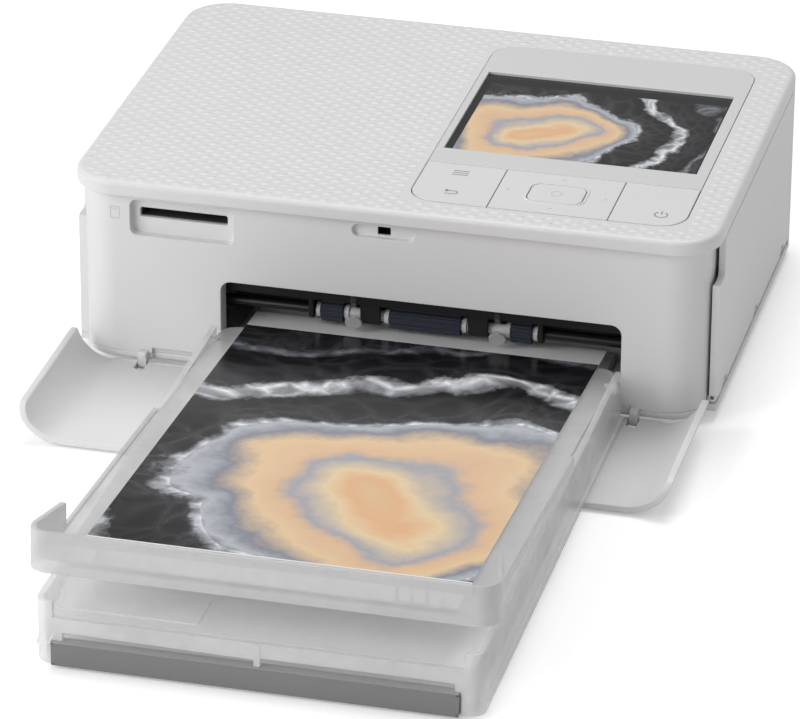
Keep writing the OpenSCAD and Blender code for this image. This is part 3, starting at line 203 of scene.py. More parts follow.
# light rubbing along edges and corners, 0 on flat parts
def wearGroup(v):
    group, gin, gout = newGroup("edgeWear",
        [("Radius", "NodeSocketFloat", v["radius"]), ("Break Up", "NodeSocketFloat", v["breakUp"])],
        [("Wear", "NodeSocketFloat")])
    soft = addNode(group, "Bevel", {"Radius": gin.outputs["Radius"]}, samples=v["samples"]).outputs["Normal"]
    flat = addNode(group, "NewGeometry").outputs["Normal"]
    along = vector2(group, "DOT_PRODUCT", {0: soft, 1: flat})["Value"]
    edge = addNode(group, "MapRange", {"Value": along, "From Min": v["flat"], "From Max": v["edge"]})
    place = addNode(group, "TexCoord").outputs["Object"]
    patchy = addNode(group, "TexNoise",
        {"Vector": place, "Scale": gin.outputs["Break Up"], "Detail": v["detail"]})
    broken = math2(group, "MULTIPLY_ADD", patchy.outputs["Fac"], v["gain"], v["least"])
    worn = math2(group, "MULTIPLY", edge.outputs["Result"], broken)
    group.links.new(worn, gout.inputs["Wear"])
    return group


bandColours = [  # place along the blend, colour
    (0.00, (0.80, 0.58, 0.33)),
    (0.08, (0.84, 0.50, 0.28)),
    (0.13, (0.86, 0.67, 0.42)),
    (0.20, (0.42, 0.42, 0.47)),
    (0.24, (0.80, 0.54, 0.34)),
    (0.30, (0.85, 0.62, 0.38)),
    (0.36, (0.27, 0.28, 0.33)),
    (0.40, (0.52, 0.54, 0.58)),
    (0.435, (0.030, 0.029, 0.032)),
    (0.56, (0.010, 0.0095, 0.010)),
    (0.585, (0.30, 0.31, 0.33)),
    (0.62, (0.46, 0.47, 0.49)),
    (0.645, (0.024, 0.023, 0.026)),
    (0.80, (0.009, 0.009, 0.010)),
    (0.83, (0.14, 0.15, 0.17)),
    (0.86, (0.030, 0.030, 0.033)),
    (1.00, (0.020, 0.020, 0.022)),
]
stoneLook = {
    "scale": 10.0,
    "broad": {"Scale": 1.1, "Detail": 2.0}, "bend": 0.9,
    "fine": {"Scale": 9.0, "Detail": 6.0, "Roughness": 0.65}, "frayed": 0.09, "spread": 0.62,
    "cells": {"Scale": 9.0, "Randomness": 1.0}, "cellWall": 0.22, "wallLight": 1.9, "cellLight": 0.75,
    "streaks": {"Scale": 26.0, "Detail": 4.0}, "streakGain": 1.2, "streakLeast": 0.4,
    "darkFrom": 0.66,
}


# the cut face of a banded stone, in the colours of dusk
def bandedStoneGroup(v):
    group, gin, gout = newGroup("bandedStone",
        [("Centre", "NodeSocketVector", (0.0, 0.0, 0.0)), ("Scale", "NodeSocketFloat", v["scale"]),
            ("Turn", "NodeSocketFloat", 0.0)],
        [("Colour", "NodeSocketColor")])
    flatten = (1.0, 1.0, 0.0)
    place = addNode(group, "TexCoord").outputs["Object"]
    moved = vector2(group, "SUBTRACT", {0: place, 1: gin.outputs["Centre"]})[0]
    sized = vector2(group, "SCALE", {0: moved, "Scale": gin.outputs["Scale"]})[0]
    level = vector2(group, "MULTIPLY", {0: sized, 1: flatten})[0]
    spot = addNode(group, "VectorRotate", {"Vector": level, "Angle": gin.outputs["Turn"]},
        rotation_type="Z_AXIS").outputs[0]
    broad = addNode(group, "TexNoise", {"Vector": spot, **v["broad"]}).outputs["Color"]
    pushed = vector2(group, "SUBTRACT", {0: broad, 1: (0.5, 0.5, 0.5)})[0]
    bent = vector2(group, "MULTIPLY_ADD", {0: pushed, 1: (v["bend"], v["bend"], 0.0), 2: spot})[0]
    flat = vector2(group, "MULTIPLY", {0: bent, 1: flatten})[0]
    out = vector2(group, "LENGTH", {0: flat})["Value"]
    fine = addNode(group, "TexNoise", {"Vector": spot, **v["fine"]}).outputs["Fac"]
    rough = math2(group, "MULTIPLY_ADD", fine, v["frayed"], -v["frayed"] / 2)
    ramp = addNode(group, "ValToRGB", {"Fac": math2(group, "MULTIPLY_ADD", out, v["spread"], rough)})
    elements = ramp.color_ramp.elements
    for at, _ in bandColours[1:-1]:
        elements.new(at)
    for element, (at, colour) in zip(elements, bandColours):
        element.position = at
        element.color = (*colour, 1)
    # crystal grain on the outer, dark bands
    cells = addNode(group, "TexVoronoi", {"Vector": flat, **v["cells"]}, feature="DISTANCE_TO_EDGE")
    walls = addNode(group, "MapRange", {"Value": cells.outputs["Distance"], "From Min": 0.0,
        "From Max": v["cellWall"], "To Min": v["wallLight"], "To Max": v["cellLight"]}).outputs["Result"]
    streaks = addNode(group, "TexNoise", {"Vector": flat, **v["streaks"]}).outputs["Fac"]
    streaked = math2(group, "MULTIPLY_ADD", streaks, v["streakGain"], v["streakLeast"])
    change = math2(group, "SUBTRACT", math2(group, "MULTIPLY", walls, streaked), 1.0)
    dark = math2(group, "GREATER_THAN", out, v["darkFrom"])
    light = math2(group, "MULTIPLY_ADD", change, dark, 1.0)
    colour = vector2(group, "SCALE", {0: ramp.outputs["Color"], "Scale": light})[0]
    group.links.new(colour, gout.inputs["Colour"])
    return group


shared = {"grain": grainGroup(grainLook), "wear": wearGroup(wearLook), "stone": bandedStoneGroup(stoneLook)}
print("node groups ready:", len(shared))


# Finishes

def newMaterial(name, colour, roughness, metallic=0.0):
    material = bpy.data.materials.new(name)
    material.use_nodes = True
    tree = material.node_tree
    shader = tree.nodes["Principled BSDF"]
    shader.inputs["Base Color"].default_value = (*colour, 1)
    shader.inputs["Roughness"].default_value = roughness
    shader.inputs["Metallic"].default_value = metallic
    return material, tree, shader


def placeGroup(tree, name, values):
    node = tree.nodes.new("ShaderNodeGroup")
    node.node_tree = shared[name]
    for key, value in values.items():
        node.inputs[key].default_value = value
    return node


def placeGrain(tree, scale, patches=grainLook["patches"]):
    return placeGroup(tree, "grain", {"Scale": scale, "Patches": patches})


def objectAxis(tree, axis, kind="Object"):
    place = addNode(tree, "TexCoord").outputs[kind]
    return addNode(tree, "SeparateXYZ", {"Vector": place}).outputs[axis]


# base colour blended from a to b; a is a colour or what is linked already
def blendColour(tree, shader, factor, b, a=None):
    a = (*a, 1) if a else shader.inputs["Base Color"].links[0].from_socket
    b = b if isinstance(b, bpy.types.NodeSocket) else (*b, 1)
    mix = addNode(tree, "Mix", {"Factor": factor, "A": a, "B": b}, data_type="RGBA")
    tree.links.new(mix.outputs["Result"], shader.inputs["Base Color"])


# a lighter colour where edges are rubbed
def wearOver(tree, shader, colour, amount):
    worn = placeGroup(tree, "wear", {"Radius": wearLook["radius"], "Break Up": wearLook["breakUp"]})
    factor = math2(tree, "MULTIPLY", worn.outputs["Wear"], amount)
    light = [min(1, c * wearLook["lighter"] + wearLook["lift"]) for c in colour]
    blendColour(tree, shader, factor, light)


def linkBump(tree, shader, height, distance):
    bump = addNode(tree, "Bump", {"Height": height, "Strength": 1.0, "Distance": distance})
    tree.links.new(bump.outputs["Normal"], shader.inputs["Normal"])


# the colour, darker and lighter by a small amount
def shadeColour(tree, shader, colour, amount, factor):
    blendColour(tree, shader, factor, [min(1, c * (1 + amount)) for c in colour],
        [c * (1 - amount) for c in colour])


shellFinish = {"colour": (0.745, 0.745, 0.75), "roughness": 0.42, "uneven": 0.08, "patchy": 0.012,
    "wear": 0.35, "grain": 1500.0, "bump": 0.00001}
panelFinish = {**shellFinish, "colour": (0.70, 0.70, 0.705), "roughness": 0.3, "grain": 2200.0,
    "bump": 0.000004}


def shellMaterial(name, v):
    material, tree, shader = newMaterial(name, v["colour"], v["roughness"])
    grain = placeGrain(tree, v["grain"])
    shadeColour(tree, shader, v["colour"], v["patchy"], grain.outputs["Shade"])
    wearOver(tree, shader, v["colour"], v["wear"])
    rough = math2(tree, "MULTIPLY_ADD", grain.outputs["Shade"], v["uneven"], v["roughness"] - v["uneven"] / 2)
    tree.links.new(rough, shader.inputs["Roughness"])
    linkBump(tree, shader, grain.outputs["Height"], v["bump"])
    return material


frosting = {"roughness": 0.3, "grain": 1200.0, "patches": 70.0, "patchy": 0.03, "wear": 0.5, "bump": 0.00002}
trayFinish = {**frosting, "colour": (0.61, 0.607, 0.607), "alpha": 0.62, "cloud": 0.3, "glow": 0.8}
cassetteFinish = {**frosting, "colour": (0.77, 0.767, 0.767), "alpha": 0.5, "cloud": 0.25, "glow": 0.6}
innerFinish = {**frosting, "colour": (0.95, 0.947, 0.947), "alpha": 0.6, "cloud": 0.15, "glow": 0.6}


# 1, and less for the shadows it casts: thin white stuff passes light on
def lightThrough(tree, share):
    shadow = addNode(tree, "LightPath").outputs["Is Shadow Ray"]
    return math2(tree, "MULTIPLY_ADD", shadow, -share, 1.0)


def frostedMaterial(name, v):
    material, tree, shader = newMaterial(name, v["colour"], v["roughness"])
    grain = placeGrain(tree, v["grain"], v["patches"])
    cloud = math2(tree, "MULTIPLY_ADD", grain.outputs["Shade"], v["cloud"], v["alpha"] - v["cloud"] / 2)
    tree.links.new(math2(tree, "MULTIPLY", cloud, lightThrough(tree, v["glow"])), shader.inputs["Alpha"])
    shadeColour(tree, shader, v["colour"], v["patchy"], grain.outputs["Shade"])
    wearOver(tree, shader, v["colour"], v["wear"])
    linkBump(tree, shader, grain.outputs["Height"], v["bump"])
    return material


plainLook = {"grain": 1200.0, "patchy": 0.03, "bump": 0.00001}


def plainMaterial(name, colour, roughness, metallic=0.0):
    material, tree, shader = newMaterial(name, colour, roughness, metallic)
    grain = placeGrain(tree, plainLook["grain"])
    shadeColour(tree, shader, colour, plainLook["patchy"], grain.outputs["Shade"])
    linkBump(tree, shader, grain.outputs["Height"], plainLook["bump"])
    return material


fingerFinish = {"colour": (0.5, 0.51, 0.53), "roughness": 0.2, "tab": 0.6, "stem": 0.12,
    "tabTop": 0.0206, "fade": 0.0004}


# clear stems that carry paler tabs
def fingerMaterial(v):
    material = plainMaterial("clearFingers", v["colour"], v["roughness"])
    tree = material.node_tree
    clear = addNode(tree, "MapRange", {"Value": objectAxis(tree, "Z"), "From Min": v["tabTop"],
        "From Max": v["tabTop"] + v["fade"], "To Min": v["tab"], "To Max": v["stem"]})
    tree.links.new(clear.outputs["Result"], tree.nodes["Principled BSDF"].inputs["Alpha"])
    return material


# pale: the colour of the painted highlight on the bar's upward-facing side
barFinish = {"colour": (0.205, 0.205, 0.21), "pale": (0.42, 0.42, 0.425), "roughness": 0.45,
    "slope": (0.3, 0.8)}


# mid grey, with a painted highlight: paler where its surface faces up
def barMaterial(v):
    material = plainMaterial("barPlastic", v["colour"], v["roughness"])
    tree = material.node_tree
    low, high = v["slope"]
    # painted highlight: the colour turns pale as the surface faces up
    paintedHighlight = addNode(tree, "MapRange", {"Value": objectAxis(tree, "Z", "Normal"), "From Min": low,
        "From Max": high})
    blendColour(tree, tree.nodes["Principled BSDF"], paintedHighlight.outputs["Result"], v["pale"])
    return material


# 1 inside the box from low to high, 0 outside
def insideBox(tree, low, high):
    inside = 1.0
    for axis, a, b in zip("XY", low, high):
        at = objectAxis(tree, axis)
        inside = math2(tree, "MULTIPLY", inside, math2(tree, "GREATER_THAN", at, a))
        inside = math2(tree, "MULTIPLY", inside, math2(tree, "LESS_THAN", at, b))
    return inside


# the screen shows the printed picture, a quarter turn round
printPicture = {"low": (-1, -0.1285), "high": (1, 0.0222), "centre": (0.026, -0.086, 0.0), "scale": 12.0,
    "turn": math.pi / 2, "white": (0.88, 0.88, 0.88), "roughness": 0.22, "specular": 0.3, "glow": 0.55,
    "grain": 2500.0, "bump": 0.000002}
screenPicture = {"edges": (0.0020, 0.0008, 0.0006, 0.0060),  # left, front, right, rear
    "centre": (0.0275, 0.0812, 0.0), "scale": 25.0, "turn": 0.0, "frame": (0.012, 0.012, 0.014),
    "roughness": 0.12, "grain": 60.0, "bump": 0.00001}


def placeStone(tree, v):
    values = {"Centre": v["centre"], "Scale": v["scale"], "Turn": v["turn"]}
    return placeGroup(tree, "stone", values).outputs["Colour"]


def printMaterial(v):
    material, tree, shader = newMaterial("printedSheet", v["white"], v["roughness"])
    shader.inputs["Specular IOR Level"].default_value = v["specular"]
    upper = math2(tree, "GREATER_THAN", objectAxis(tree, "Z", "Normal"), 0.0)  # the back is white
    inside = math2(tree, "MULTIPLY", insideBox(tree, v["low"], v["high"]), upper)
    blendColour(tree, shader, inside, placeStone(tree, v), v["white"])
    tree.links.new(lightThrough(tree, v["glow"]), shader.inputs["Alpha"])
    linkBump(tree, shader, placeGrain(tree, v["grain"]).outputs["Height"], v["bump"])
    return material


def screenMaterial(v):
    material, tree, shader = newMaterial("litScreen", v["frame"], v["roughness"])
    low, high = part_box("screen_window")
    left, front, right, rear = v["edges"]
    inside = insideBox(tree, (low.x + left, low.y + front), (high.x - right, high.y - rear))
    blendColour(tree, shader, inside, placeStone(tree, v), v["frame"])
    linkBump(tree, shader, placeGrain(tree, v["grain"]).outputs["Height"], v["bump"])
    return material


shaftFinish = {"white": (0.72, 0.72, 0.72), "black": (0.01, 0.01, 0.011), "roughness": 0.3,
    "middle": 0.009, "halfWhite": 0.0315, "grain": 1500.0, "bump": 0.000005}


# white between the outer rollers, black towards both ends
def shaftMaterial(v):
    material, tree, shader = newMaterial("whiteShaft", v["white"], v["roughness"])
    away = math2(tree, "ABSOLUTE", math2(tree, "SUBTRACT", objectAxis(tree, "X"), v["middle"]))
    blendColour(tree, shader, math2(tree, "GREATER_THAN", away, v["halfWhite"]), v["black"], v["white"])
    linkBump(tree, shader, placeGrain(tree, v["grain"]).outputs["Height"], v["bump"])
    return material


finishes = {
    "shell": shellMaterial("whiteShell", shellFinish),
    "panel": shellMaterial("whitePanel", panelFinish),
    "frostedTray": frostedMaterial("frostedTray", trayFinish),
    "frostedCassette": frostedMaterial("frostedCassette", cassetteFinish),
    "frostedCover": frostedMaterial("frostedCover", innerFinish),
    "fingers": fingerMaterial(fingerFinish),
    "mark": plainMaterial("greyPrint", (0.33, 0.33, 0.34), 0.5),
    "faintMark": plainMaterial("paleGreyPrint", (0.56, 0.56, 0.57), 0.5),
    "black": plainMaterial("blackPlastic", (0.005, 0.005, 0.0055), 0.65),
    "dark": plainMaterial("darkGreyPlastic", (0.07, 0.07, 0.075), 0.45),
    "steel": plainMaterial("sheetSteel", (0.56, 0.57, 0.58), 0.32, 1.0),
    "aluminium": plainMaterial("finnedAluminium", (0.72, 0.72, 0.73), 0.35, 1.0),
    "brass": plainMaterial("turnedBrass", (0.72, 0.53, 0.25), 0.3, 1.0),
    "gear": plainMaterial("gearPlastic", (0.72, 0.71, 0.66), 0.4),
    "shaft": shaftMaterial(shaftFinish),
    "rubber": plainMaterial("ribbedRubber", (0.020, 0.024, 0.045), 0.6),
    "footRubber": plainMaterial("footRubber", (0.10, 0.10, 0.10), 0.8),
    "bar": barMaterial(barFinish),
    "circuit": plainMaterial("circuitBoard", (0.02, 0.11, 0.05), 0.4),
    "ink": plainMaterial("inkCassettePlastic", (0.10, 0.10, 0.11), 0.45),
    "film": plainMaterial("ribbonFilm", (0.10, 0.05, 0.10), 0.2),
    "paper": plainMaterial("cardPaper", (0.80, 0.80, 0.80), 0.6),
    "print": printMaterial(printPicture),
    "screen": screenMaterial(screenPicture),
}

nodeFinish = {
    "shell": ["top_cover", "housing", "bottom_cover", "rear_cover", "front_door", "ink_door",
        "menu_back_key", "nav_key", "ok_key", "wireless_power_key"],
    "panel": ["control_panel"],
    "frostedTray": ["output_tray"],
    "frostedCassette": ["cassette_base"],
    "frostedCover": ["inner_cover"],
    "fingers": ["guide_fingers"],
    "black": ["door_catch", "exit_guide", "power_jack", "fan_housing"],
    "dark": ["card_reader", "screen_module", "fan_rotor", "nav_gimbal"],
    "steel": ["screws", "door_pins", "ink_door_pin", "frame_plates", "usb_port", "feed_motor",
        "ribbon_motor", "grip_roller", "platen_shaft", "head_bracket"],
    "aluminium": ["thermal_head"],
    "brass": ["motor_pinion", "ribbon_pinion"],
    "gear": ["idler_gear", "exit_gear", "grip_gear", "takeup_drive"],
    "shaft": ["exit_shaft"],
    "rubber": ["exit_rollers", "pinch_roller", "platen_rubber"],
    "footRubber": ["feet"],
    "bar": ["front_bar"],
    "circuit": ["key_board", "main_board"],
    "ink": ["ink_cassette"],
    "film": ["supply_spool", "takeup_spool", "ribbon_film"],
    "paper": ["paper_stack"],
    "print": ["print_sheet"],
    "screen": ["screen_window"],
}


def dressNodes():
    for finish, names in nodeFinish.items():
        for name in names:
            slots = nodes[name].material_slots
            if not slots:
                nodes[name].data.materials.append(finishes[finish])
            for slot in slots:
                slot.material = finishes[finish]


dressNodes()
print("finishes on", sum(len(names) for names in nodeFinish.values()), "nodes")


# Rounded edges: a merged copy of each of these solids, bevelled, stands for the solid

softEdges = {  # rounding in mm
    "top_cover": 0.3, "housing": 0.3, "bottom_cover": 0.4, "rear_cover": 0.3, "front_door": 0.4,
    "ink_door": 0.3, "control_panel": 0.15, "menu_back_key": 0.12, "nav_key": 0.12, "ok_key": 0.2,
    "wireless_power_key": 0.12, "cassette_base": 0.35, "front_bar": 0.8, "inner_cover": 0.3,
    "output_tray": 0.4, "exit_guide": 0.2, "guide_fingers": 0.25,
}
lowered = {"top_cover": 0.15, "ok_key": 0.02}  # mm, room for what lies on them
softening = {
    "merge": 0.002, "lowerFrom": 56,  # mm
    "flat": 0.5, "sharp": 38,  # degrees
    "room": 2.2,  # times the rounding
    "straight": 0.85,  # cosine to the edge, above it a neighbour runs on
    "segments": 2,
}
bodyOf = {node: body for body, names in record["behaviour"]["bodies"].items() for node in names}


def shifted(x, y, z):
    return Matrix.Translation((x * mm, y * mm, z * mm))


def turned(degrees, axis="Z"):
    return Matrix.Rotation(math.radians(degrees), 4, axis)


def stretched(x, y, z):
    return Matrix.Diagonal((x * mm, y * mm, z * mm, 1))


def roundEdges(bm, edges, width, segments, affect="EDGES", **more):
    bmesh.ops.bevel(bm, geom=edges, offset=width * mm, offset_type="OFFSET", segments=segments, profile=0.5,
        affect=affect, material=-1, **more)


# the edges at these vertices, each once
def edgesOf(verts):
    return list(dict.fromkeys(e for v in verts for e in v.link_edges))


def finishPiece(name, bm, material, body, smoothTo=50):
    for face in bm.faces:
        face.smooth = True
    for edge in bm.edges:
        edge.smooth = len(edge.link_faces) == 2 and edge.calc_face_angle() < math.radians(smoothTo)
    obj = meshObject(name, bm, material)
    weighted = obj.modifiers.new("flatFaces", "WEIGHTED_NORMAL")
    weighted.keep_sharp = True
    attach(obj, body)
    return obj


# edges with room for the rounding: no short neighbour that turns away from them
def roomyEdges(bm, width, v):
    sharp = {e for e in bm.edges if len(e.link_faces) == 2 and e.calc_face_angle() > math.radians(v["sharp"])}
    kept = set(sharp)
    for edge in sharp:
        for vert in edge.verts:
            along = (edge.other_vert(vert).co - vert.co).normalized()
            for other in vert.link_edges:
                if other == edge or other.calc_length() > v["room"] * width:
                    continue
                away = (other.other_vert(vert).co - vert.co).normalized()
                if abs(along.dot(away)) < v["straight"]:
                    kept.discard(edge)
    return list(kept)


# squeezes what stands above the foot, so that the top comes down by the drop
def lowerTop(bm, top, foot, drop):
    for vert in bm.verts:
        if vert.co.z > foot:
            vert.co.z = foot + (vert.co.z - foot) * (1 - drop / (top - foot))


def softPiece(node, width, v):
    bm = bmesh.new()
    bm.from_mesh(nodes[node].data)
    bmesh.ops.remove_doubles(bm, verts=bm.verts, dist=v["merge"] * mm)
    bmesh.ops.dissolve_limit(bm, angle_limit=math.radians(v["flat"]), verts=bm.verts, edges=bm.edges)
    if node in lowered:
        lowerTop(bm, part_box(node)[1].z, v["lowerFrom"] * mm, lowered[node] * mm)
    bmesh.ops.triangulate(bm, faces=bm.faces[:])  # faces with holes would tear in the bevel
    roundEdges(bm, roomyEdges(bm, width * mm, v), width, v["segments"], clamp_overlap=False)
    material = nodes[node].material_slots[0].material
    obj = finishPiece(node + "_rounded", bm, material, bodyOf[node])
    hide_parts(node)


for node, width in softEdges.items():
    softPiece(node, width, softening)
print("rounded pieces:", len(softEdges))


# Raised dashes on the top, in a diamond lattice between the rim and the panel, in mm

dashes = {
    "pitch": (5.2, 4.4), "size": (3.2, 2.2), "turn": 37, "high": 0.29, "top": 57.69,
    "sides": 8, "flatShare": 0.4, "margin": 0.9, "corner": 12, "smoothTo": 70,
    "across": range(-60, 61), "along": range(-10, 90),  # half steps of the pitch
}
panelEdge = {"low": (2.0, 25.4), "high": (81.4, 139.4), "corner": 9}  # kept free


def inRoundBox(x, y, low, high, corner):
    dx = max(low[0] + corner - x, 0, x - high[0] + corner)
    dy = max(low[1] + corner - y, 0, y - high[1] + corner)
    inside = low[0] < x < high[0] and low[1] < y < high[1]
    return inside and dx * dx + dy * dy < corner * corner


def topDashes(v, free):
    low, high = (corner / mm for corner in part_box("top_cover"))
    halfX, halfY = v["size"][0] / 2, v["size"][1] / 2
    outerLow = (low.x + v["margin"], low.y + v["margin"])
    outerHigh = (high.x - v["margin"], high.y - v["margin"])
    freeLow = (free["low"][0] - halfX, free["low"][1] - halfY)
    freeHigh = (free["high"][0] + halfX, free["high"][1] + halfY)
    shape = turned(v["turn"]) @ stretched(halfX, halfY, v["high"])
    bm = bmesh.new()
    for i in v["across"]:
        for j in v["along"]:
            x, y = i * v["pitch"][0] / 2, j * v["pitch"][1] / 2
            ends = [(x + halfX, y), (x - halfX, y), (x, y + halfY), (x, y - halfY)]
            onTop = all(inRoundBox(*end, outerLow, outerHigh, v["corner"]) for end in ends)
            if (i + j) % 2 or not onTop or inRoundBox(x, y, freeLow, freeHigh, free["corner"]):
                continue
            bmesh.ops.create_cone(bm, cap_ends=True, segments=v["sides"], radius1=1, radius2=v["flatShare"],
                depth=1, matrix=shifted(x, y, v["top"] - v["high"] / 2) @ shape)
    return finishPiece("topDashes", bm, finishes["shell"], "printer", v["smoothTo"])


print("top dashes:", len(topDashes(dashes, panelEdge).data.polygons), "faces")


# Printed marks on the keys and the front face, in mm

marks = {
    "line": 0.45, "thick": 0.04, "sunk": 0.005, "keyTop": 57.5,
    "menu": (13.9, 46.6), "menuBar": (4.6, 0.45), "menuStep": 1.3,
    "back": (13.7, 33.5), "backSize": (2.6, 0.95), "head": 1.2, "headTurn": 40, "headAt": (0.35, 0.32),
    "power": (72.9, 33.5), "powerRadius": 1.75, "powerArc": (125, 290), "powerBar": 1.9, "powerUp": 0.75,
    "nav": (42.6, 39.4), "navSide": 13.6, "navFront": 9.6, "navArrow": (0.8, 0.3), "navTurn": 45,
    "navLean": 0.3,
}
ringMark = {"at": (42.6, 39.4, 57.685), "radius": 1.5, "line": 0.35, "thick": 0.02, "merge": 0.0001}
cardSymbol = {"at": (-77.7, 19.4, 47.1), "size": (2.6, 3.4), "line": 0.22, "thick": 0.04,
    "contact": (0.2, 0.8), "contactStep": 0.6, "contactUp": 0.28}
strokes = {"ends": 0.45, "segments": 3, "leastSteps": 4, "degreesPerStep": 9}


# flat bar with rounded ends
def bar(bm, x, y, z, size, turn=0):
    made = bmesh.ops.create_cube(bm, size=1, matrix=shifted(x, y, z) @ turned(turn) @ stretched(*size))
    upright = [e for e in edgesOf(made["verts"]) if abs(e.verts[0].co.z - e.verts[1].co.z) > size[2] * mm / 2]
    roundEdges(bm, upright, min(size[:2]) * strokes["ends"], strokes["segments"])


# square stroke along an arc, from one angle on
def arcStroke(bm, x, y, z, radius, start, sweep, width, thick):
    section = shifted(x, y, z) @ turned(start) @ shifted(radius, 0, 0) @ turned(90, "X")
    made = bmesh.ops.create_grid(bm, x_segments=1, y_segments=1, size=0.5,
        matrix=section @ Matrix.Diagonal((width * mm, thick * mm, 1, 1)))
    verts = made["verts"]
    geom = verts + edgesOf(verts) + list(verts[0].link_faces)
    steps = max(strokes["leastSteps"], int(abs(sweep) / strokes["degreesPerStep"]))
    bmesh.ops.spin(bm, geom=geom, cent=(x * mm, y * mm, z * mm), axis=(0, 0, 1),
        angle=math.radians(sweep), steps=steps, use_merge=False)
    bmesh.ops.recalc_face_normals(bm, faces=bm.faces)


# three bars over a bent arrow
def menuBackMarks(v, z):
    bm = bmesh.new()
    line, thick = v["line"], v["thick"]
    x, y = v["menu"]
    for i in (-1, 0, 1):
        bar(bm, x, y + i * v["menuStep"], z, (*v["menuBar"], thick))
    x, y = v["back"]
    wide, half = v["backSize"]
    bar(bm, x, y + half, z, (wide, line, thick))
    bar(bm, x, y - half, z, (wide, line, thick))
    arcStroke(bm, x + wide / 2, y, z, half, -90, 180, line, thick)
    inward, apart = v["headAt"]
    for side in (1, -1):
        bar(bm, x - wide / 2 + inward, y + half + side * apart, z, (v["head"], line, thick),
            side * v["headTurn"])
    finishPiece("menuBackMarks", bm, finishes["mark"], "menu_back_key")


def powerMark(v, z):
    bm = bmesh.new()
    x, y = v["power"]
    arcStroke(bm, x, y, z, v["powerRadius"], *v["powerArc"], v["line"], v["thick"])
    bar(bm, x, y + v["powerRadius"] * v["powerUp"], z, (v["line"], v["powerBar"], v["thick"]))
    finishPiece("powerMark", bm, finishes["mark"], "wireless_power_key")


def navArrows(v, z):
    bm = bmesh.new()
    x, y = v["nav"]
    size = (*v["navArrow"], v["thick"])
    for side in (1, -1):
        for lean in (1, -1):
            turn = -side * lean * v["navTurn"]
            bar(bm, x + side * v["navSide"], y + lean * v["navLean"], z, size, turn)
            bar(bm, x + lean * v["navLean"], y + side * v["navFront"], z, size, turn)
    finishPiece("navArrows", bm, finishes["faintMark"], "nav_key")


def okRing(v):
    bm = bmesh.new()
    arcStroke(bm, *v["at"], v["radius"], 0, 360, v["line"], v["thick"])
    bmesh.ops.remove_doubles(bm, verts=bm.verts, dist=v["merge"] * mm)
    finishPiece("okRing", bm, finishes["faintMark"], "ok_key")


# outline of a memory card beside its slot
def cardMark(v):
    bm = bmesh.new()
    wide, high = v["size"]
    for side in (1, -1):
        bar(bm, side * wide / 2, 0, 0, (v["line"], high, v["thick"]))
        bar(bm, 0, side * high / 2, 0, (wide, v["line"], v["thick"]))
    for i in (-1, 0, 1):
        bar(bm, i * v["contactStep"], high * v["contactUp"], 0, (*v["contact"], v["thick"]))
    bm.transform(shifted(*v["at"]) @ turned(90, "X"))
    finishPiece("cardMark", bm, finishes["faintMark"], "printer")


markHeight = marks["keyTop"] + marks["thick"] / 2 - marks["sunk"]
menuBackMarks(marks, markHeight)
powerMark(marks, markHeight)
navArrows(marks, markHeight)
okRing(ringMark)
cardMark(cardSymbol)
print("marks ready")


# Lip along the tray's front wall and the ribs behind it, in mm from the wall's upper edge

trayWall = {
    "top": (9.0, -146.26, 36.37), "lean": -4.4, "thick": 1.6,
    "lip": (109.0, 2.3), "lipAt": -1.45, "lipRound": 0.14, "proud": 0.22, "sunk": 0.3,
    "ribs": (-42.2, 34.7, 42.3), "rib": (0.8, 0.9, 7.4), "ribTop": -1, "ribSunk": 0.05, "ribRound": 0.2,
    "ledge": (8.4, 0.8, 0.8), "ledgeAt": (38.5, 0.3, -7.6),
}


def roundedBox(bm, at, size, rounding, segments=2):
    made = bmesh.ops.create_cube(bm, size=1, matrix=shifted(*at) @ stretched(*size))
    roundEdges(bm, edgesOf(made["verts"]), rounding, segments)


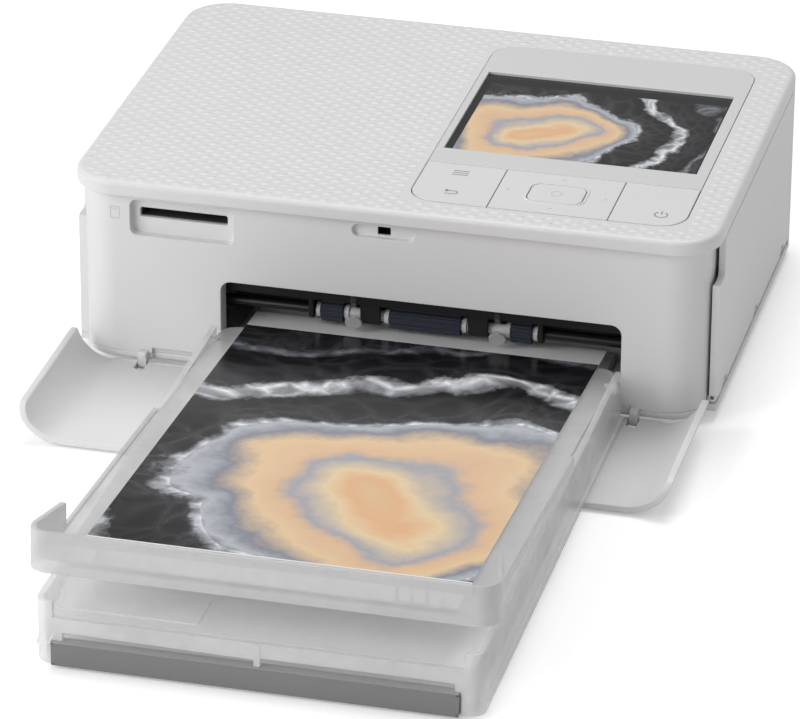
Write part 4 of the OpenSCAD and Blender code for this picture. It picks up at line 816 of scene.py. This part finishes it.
def trayTrim(v):
    bm = bmesh.new()
    wide, high = v["lip"]
    roundedBox(bm, (0, (v["sunk"] - v["proud"]) / 2, v["lipAt"]), (wide, v["proud"] + v["sunk"], high),
        v["lipRound"])
    _, deep, tall = v["rib"]
    for x in v["ribs"]:
        roundedBox(bm, (x, v["thick"] + deep / 2 - v["ribSunk"], v["ribTop"] - tall / 2), v["rib"],
            v["ribRound"])
    x, behind, z = v["ledgeAt"]
    roundedBox(bm, (x, v["thick"] + behind, z), v["ledge"], v["ribRound"])
    bm.transform(shifted(*v["top"]) @ turned(v["lean"], "X"))
    finishPiece("trayTrim", bm, finishes["frostedTray"], "output_tray")


trayTrim(trayWall)
print("tray trim ready")


# Low bezel round the centre key, in mm

bezel = {"middle": (42.6, 39.4), "inner": (15.8, 12.0), "wide": 0.75, "corner": 3.2, "low": 57.45,
    "high": 57.68, "cornerSteps": 8, "rimRound": 0.16, "rimSteps": 2, "rimAngle": 60}


def okBezel(v):
    bm = bmesh.new()
    halfX, halfY = (side / 2 + v["wide"] for side in v["inner"])
    bmesh.ops.create_grid(bm, x_segments=1, y_segments=1, size=1,
        matrix=shifted(*v["middle"], v["low"]) @ stretched(halfX, halfY, 1))
    roundEdges(bm, bm.verts[:], v["corner"] + v["wide"], v["cornerSteps"], affect="VERTICES")
    inner = bm.faces[:]
    bmesh.ops.inset_region(bm, faces=inner, thickness=v["wide"] * mm, use_boundary=True,
        use_even_offset=True)
    bmesh.ops.delete(bm, geom=inner, context="FACES")
    made = bmesh.ops.extrude_face_region(bm, geom=bm.faces[:], use_keep_orig=True)
    raised = [g for g in made["geom"] if isinstance(g, bmesh.types.BMVert)]
    bmesh.ops.translate(bm, verts=raised, vec=(0, 0, (v["high"] - v["low"]) * mm))
    bmesh.ops.recalc_face_normals(bm, faces=bm.faces)
    middle = (v["low"] + v["high"]) / 2 * mm
    rim = [e for e in bm.edges if all(w.co.z > middle for w in e.verts)
        and e.calc_face_angle(0) > math.radians(v["rimAngle"])]
    roundEdges(bm, rim, v["rimRound"], v["rimSteps"], clamp_overlap=False)
    finishPiece("okBezel", bm, finishes["shell"], "nav_key")


okBezel(bezel)
print("bezel ready")

addWorld()
addLamps()
addFloor(floorPaper)
print("stage ready")
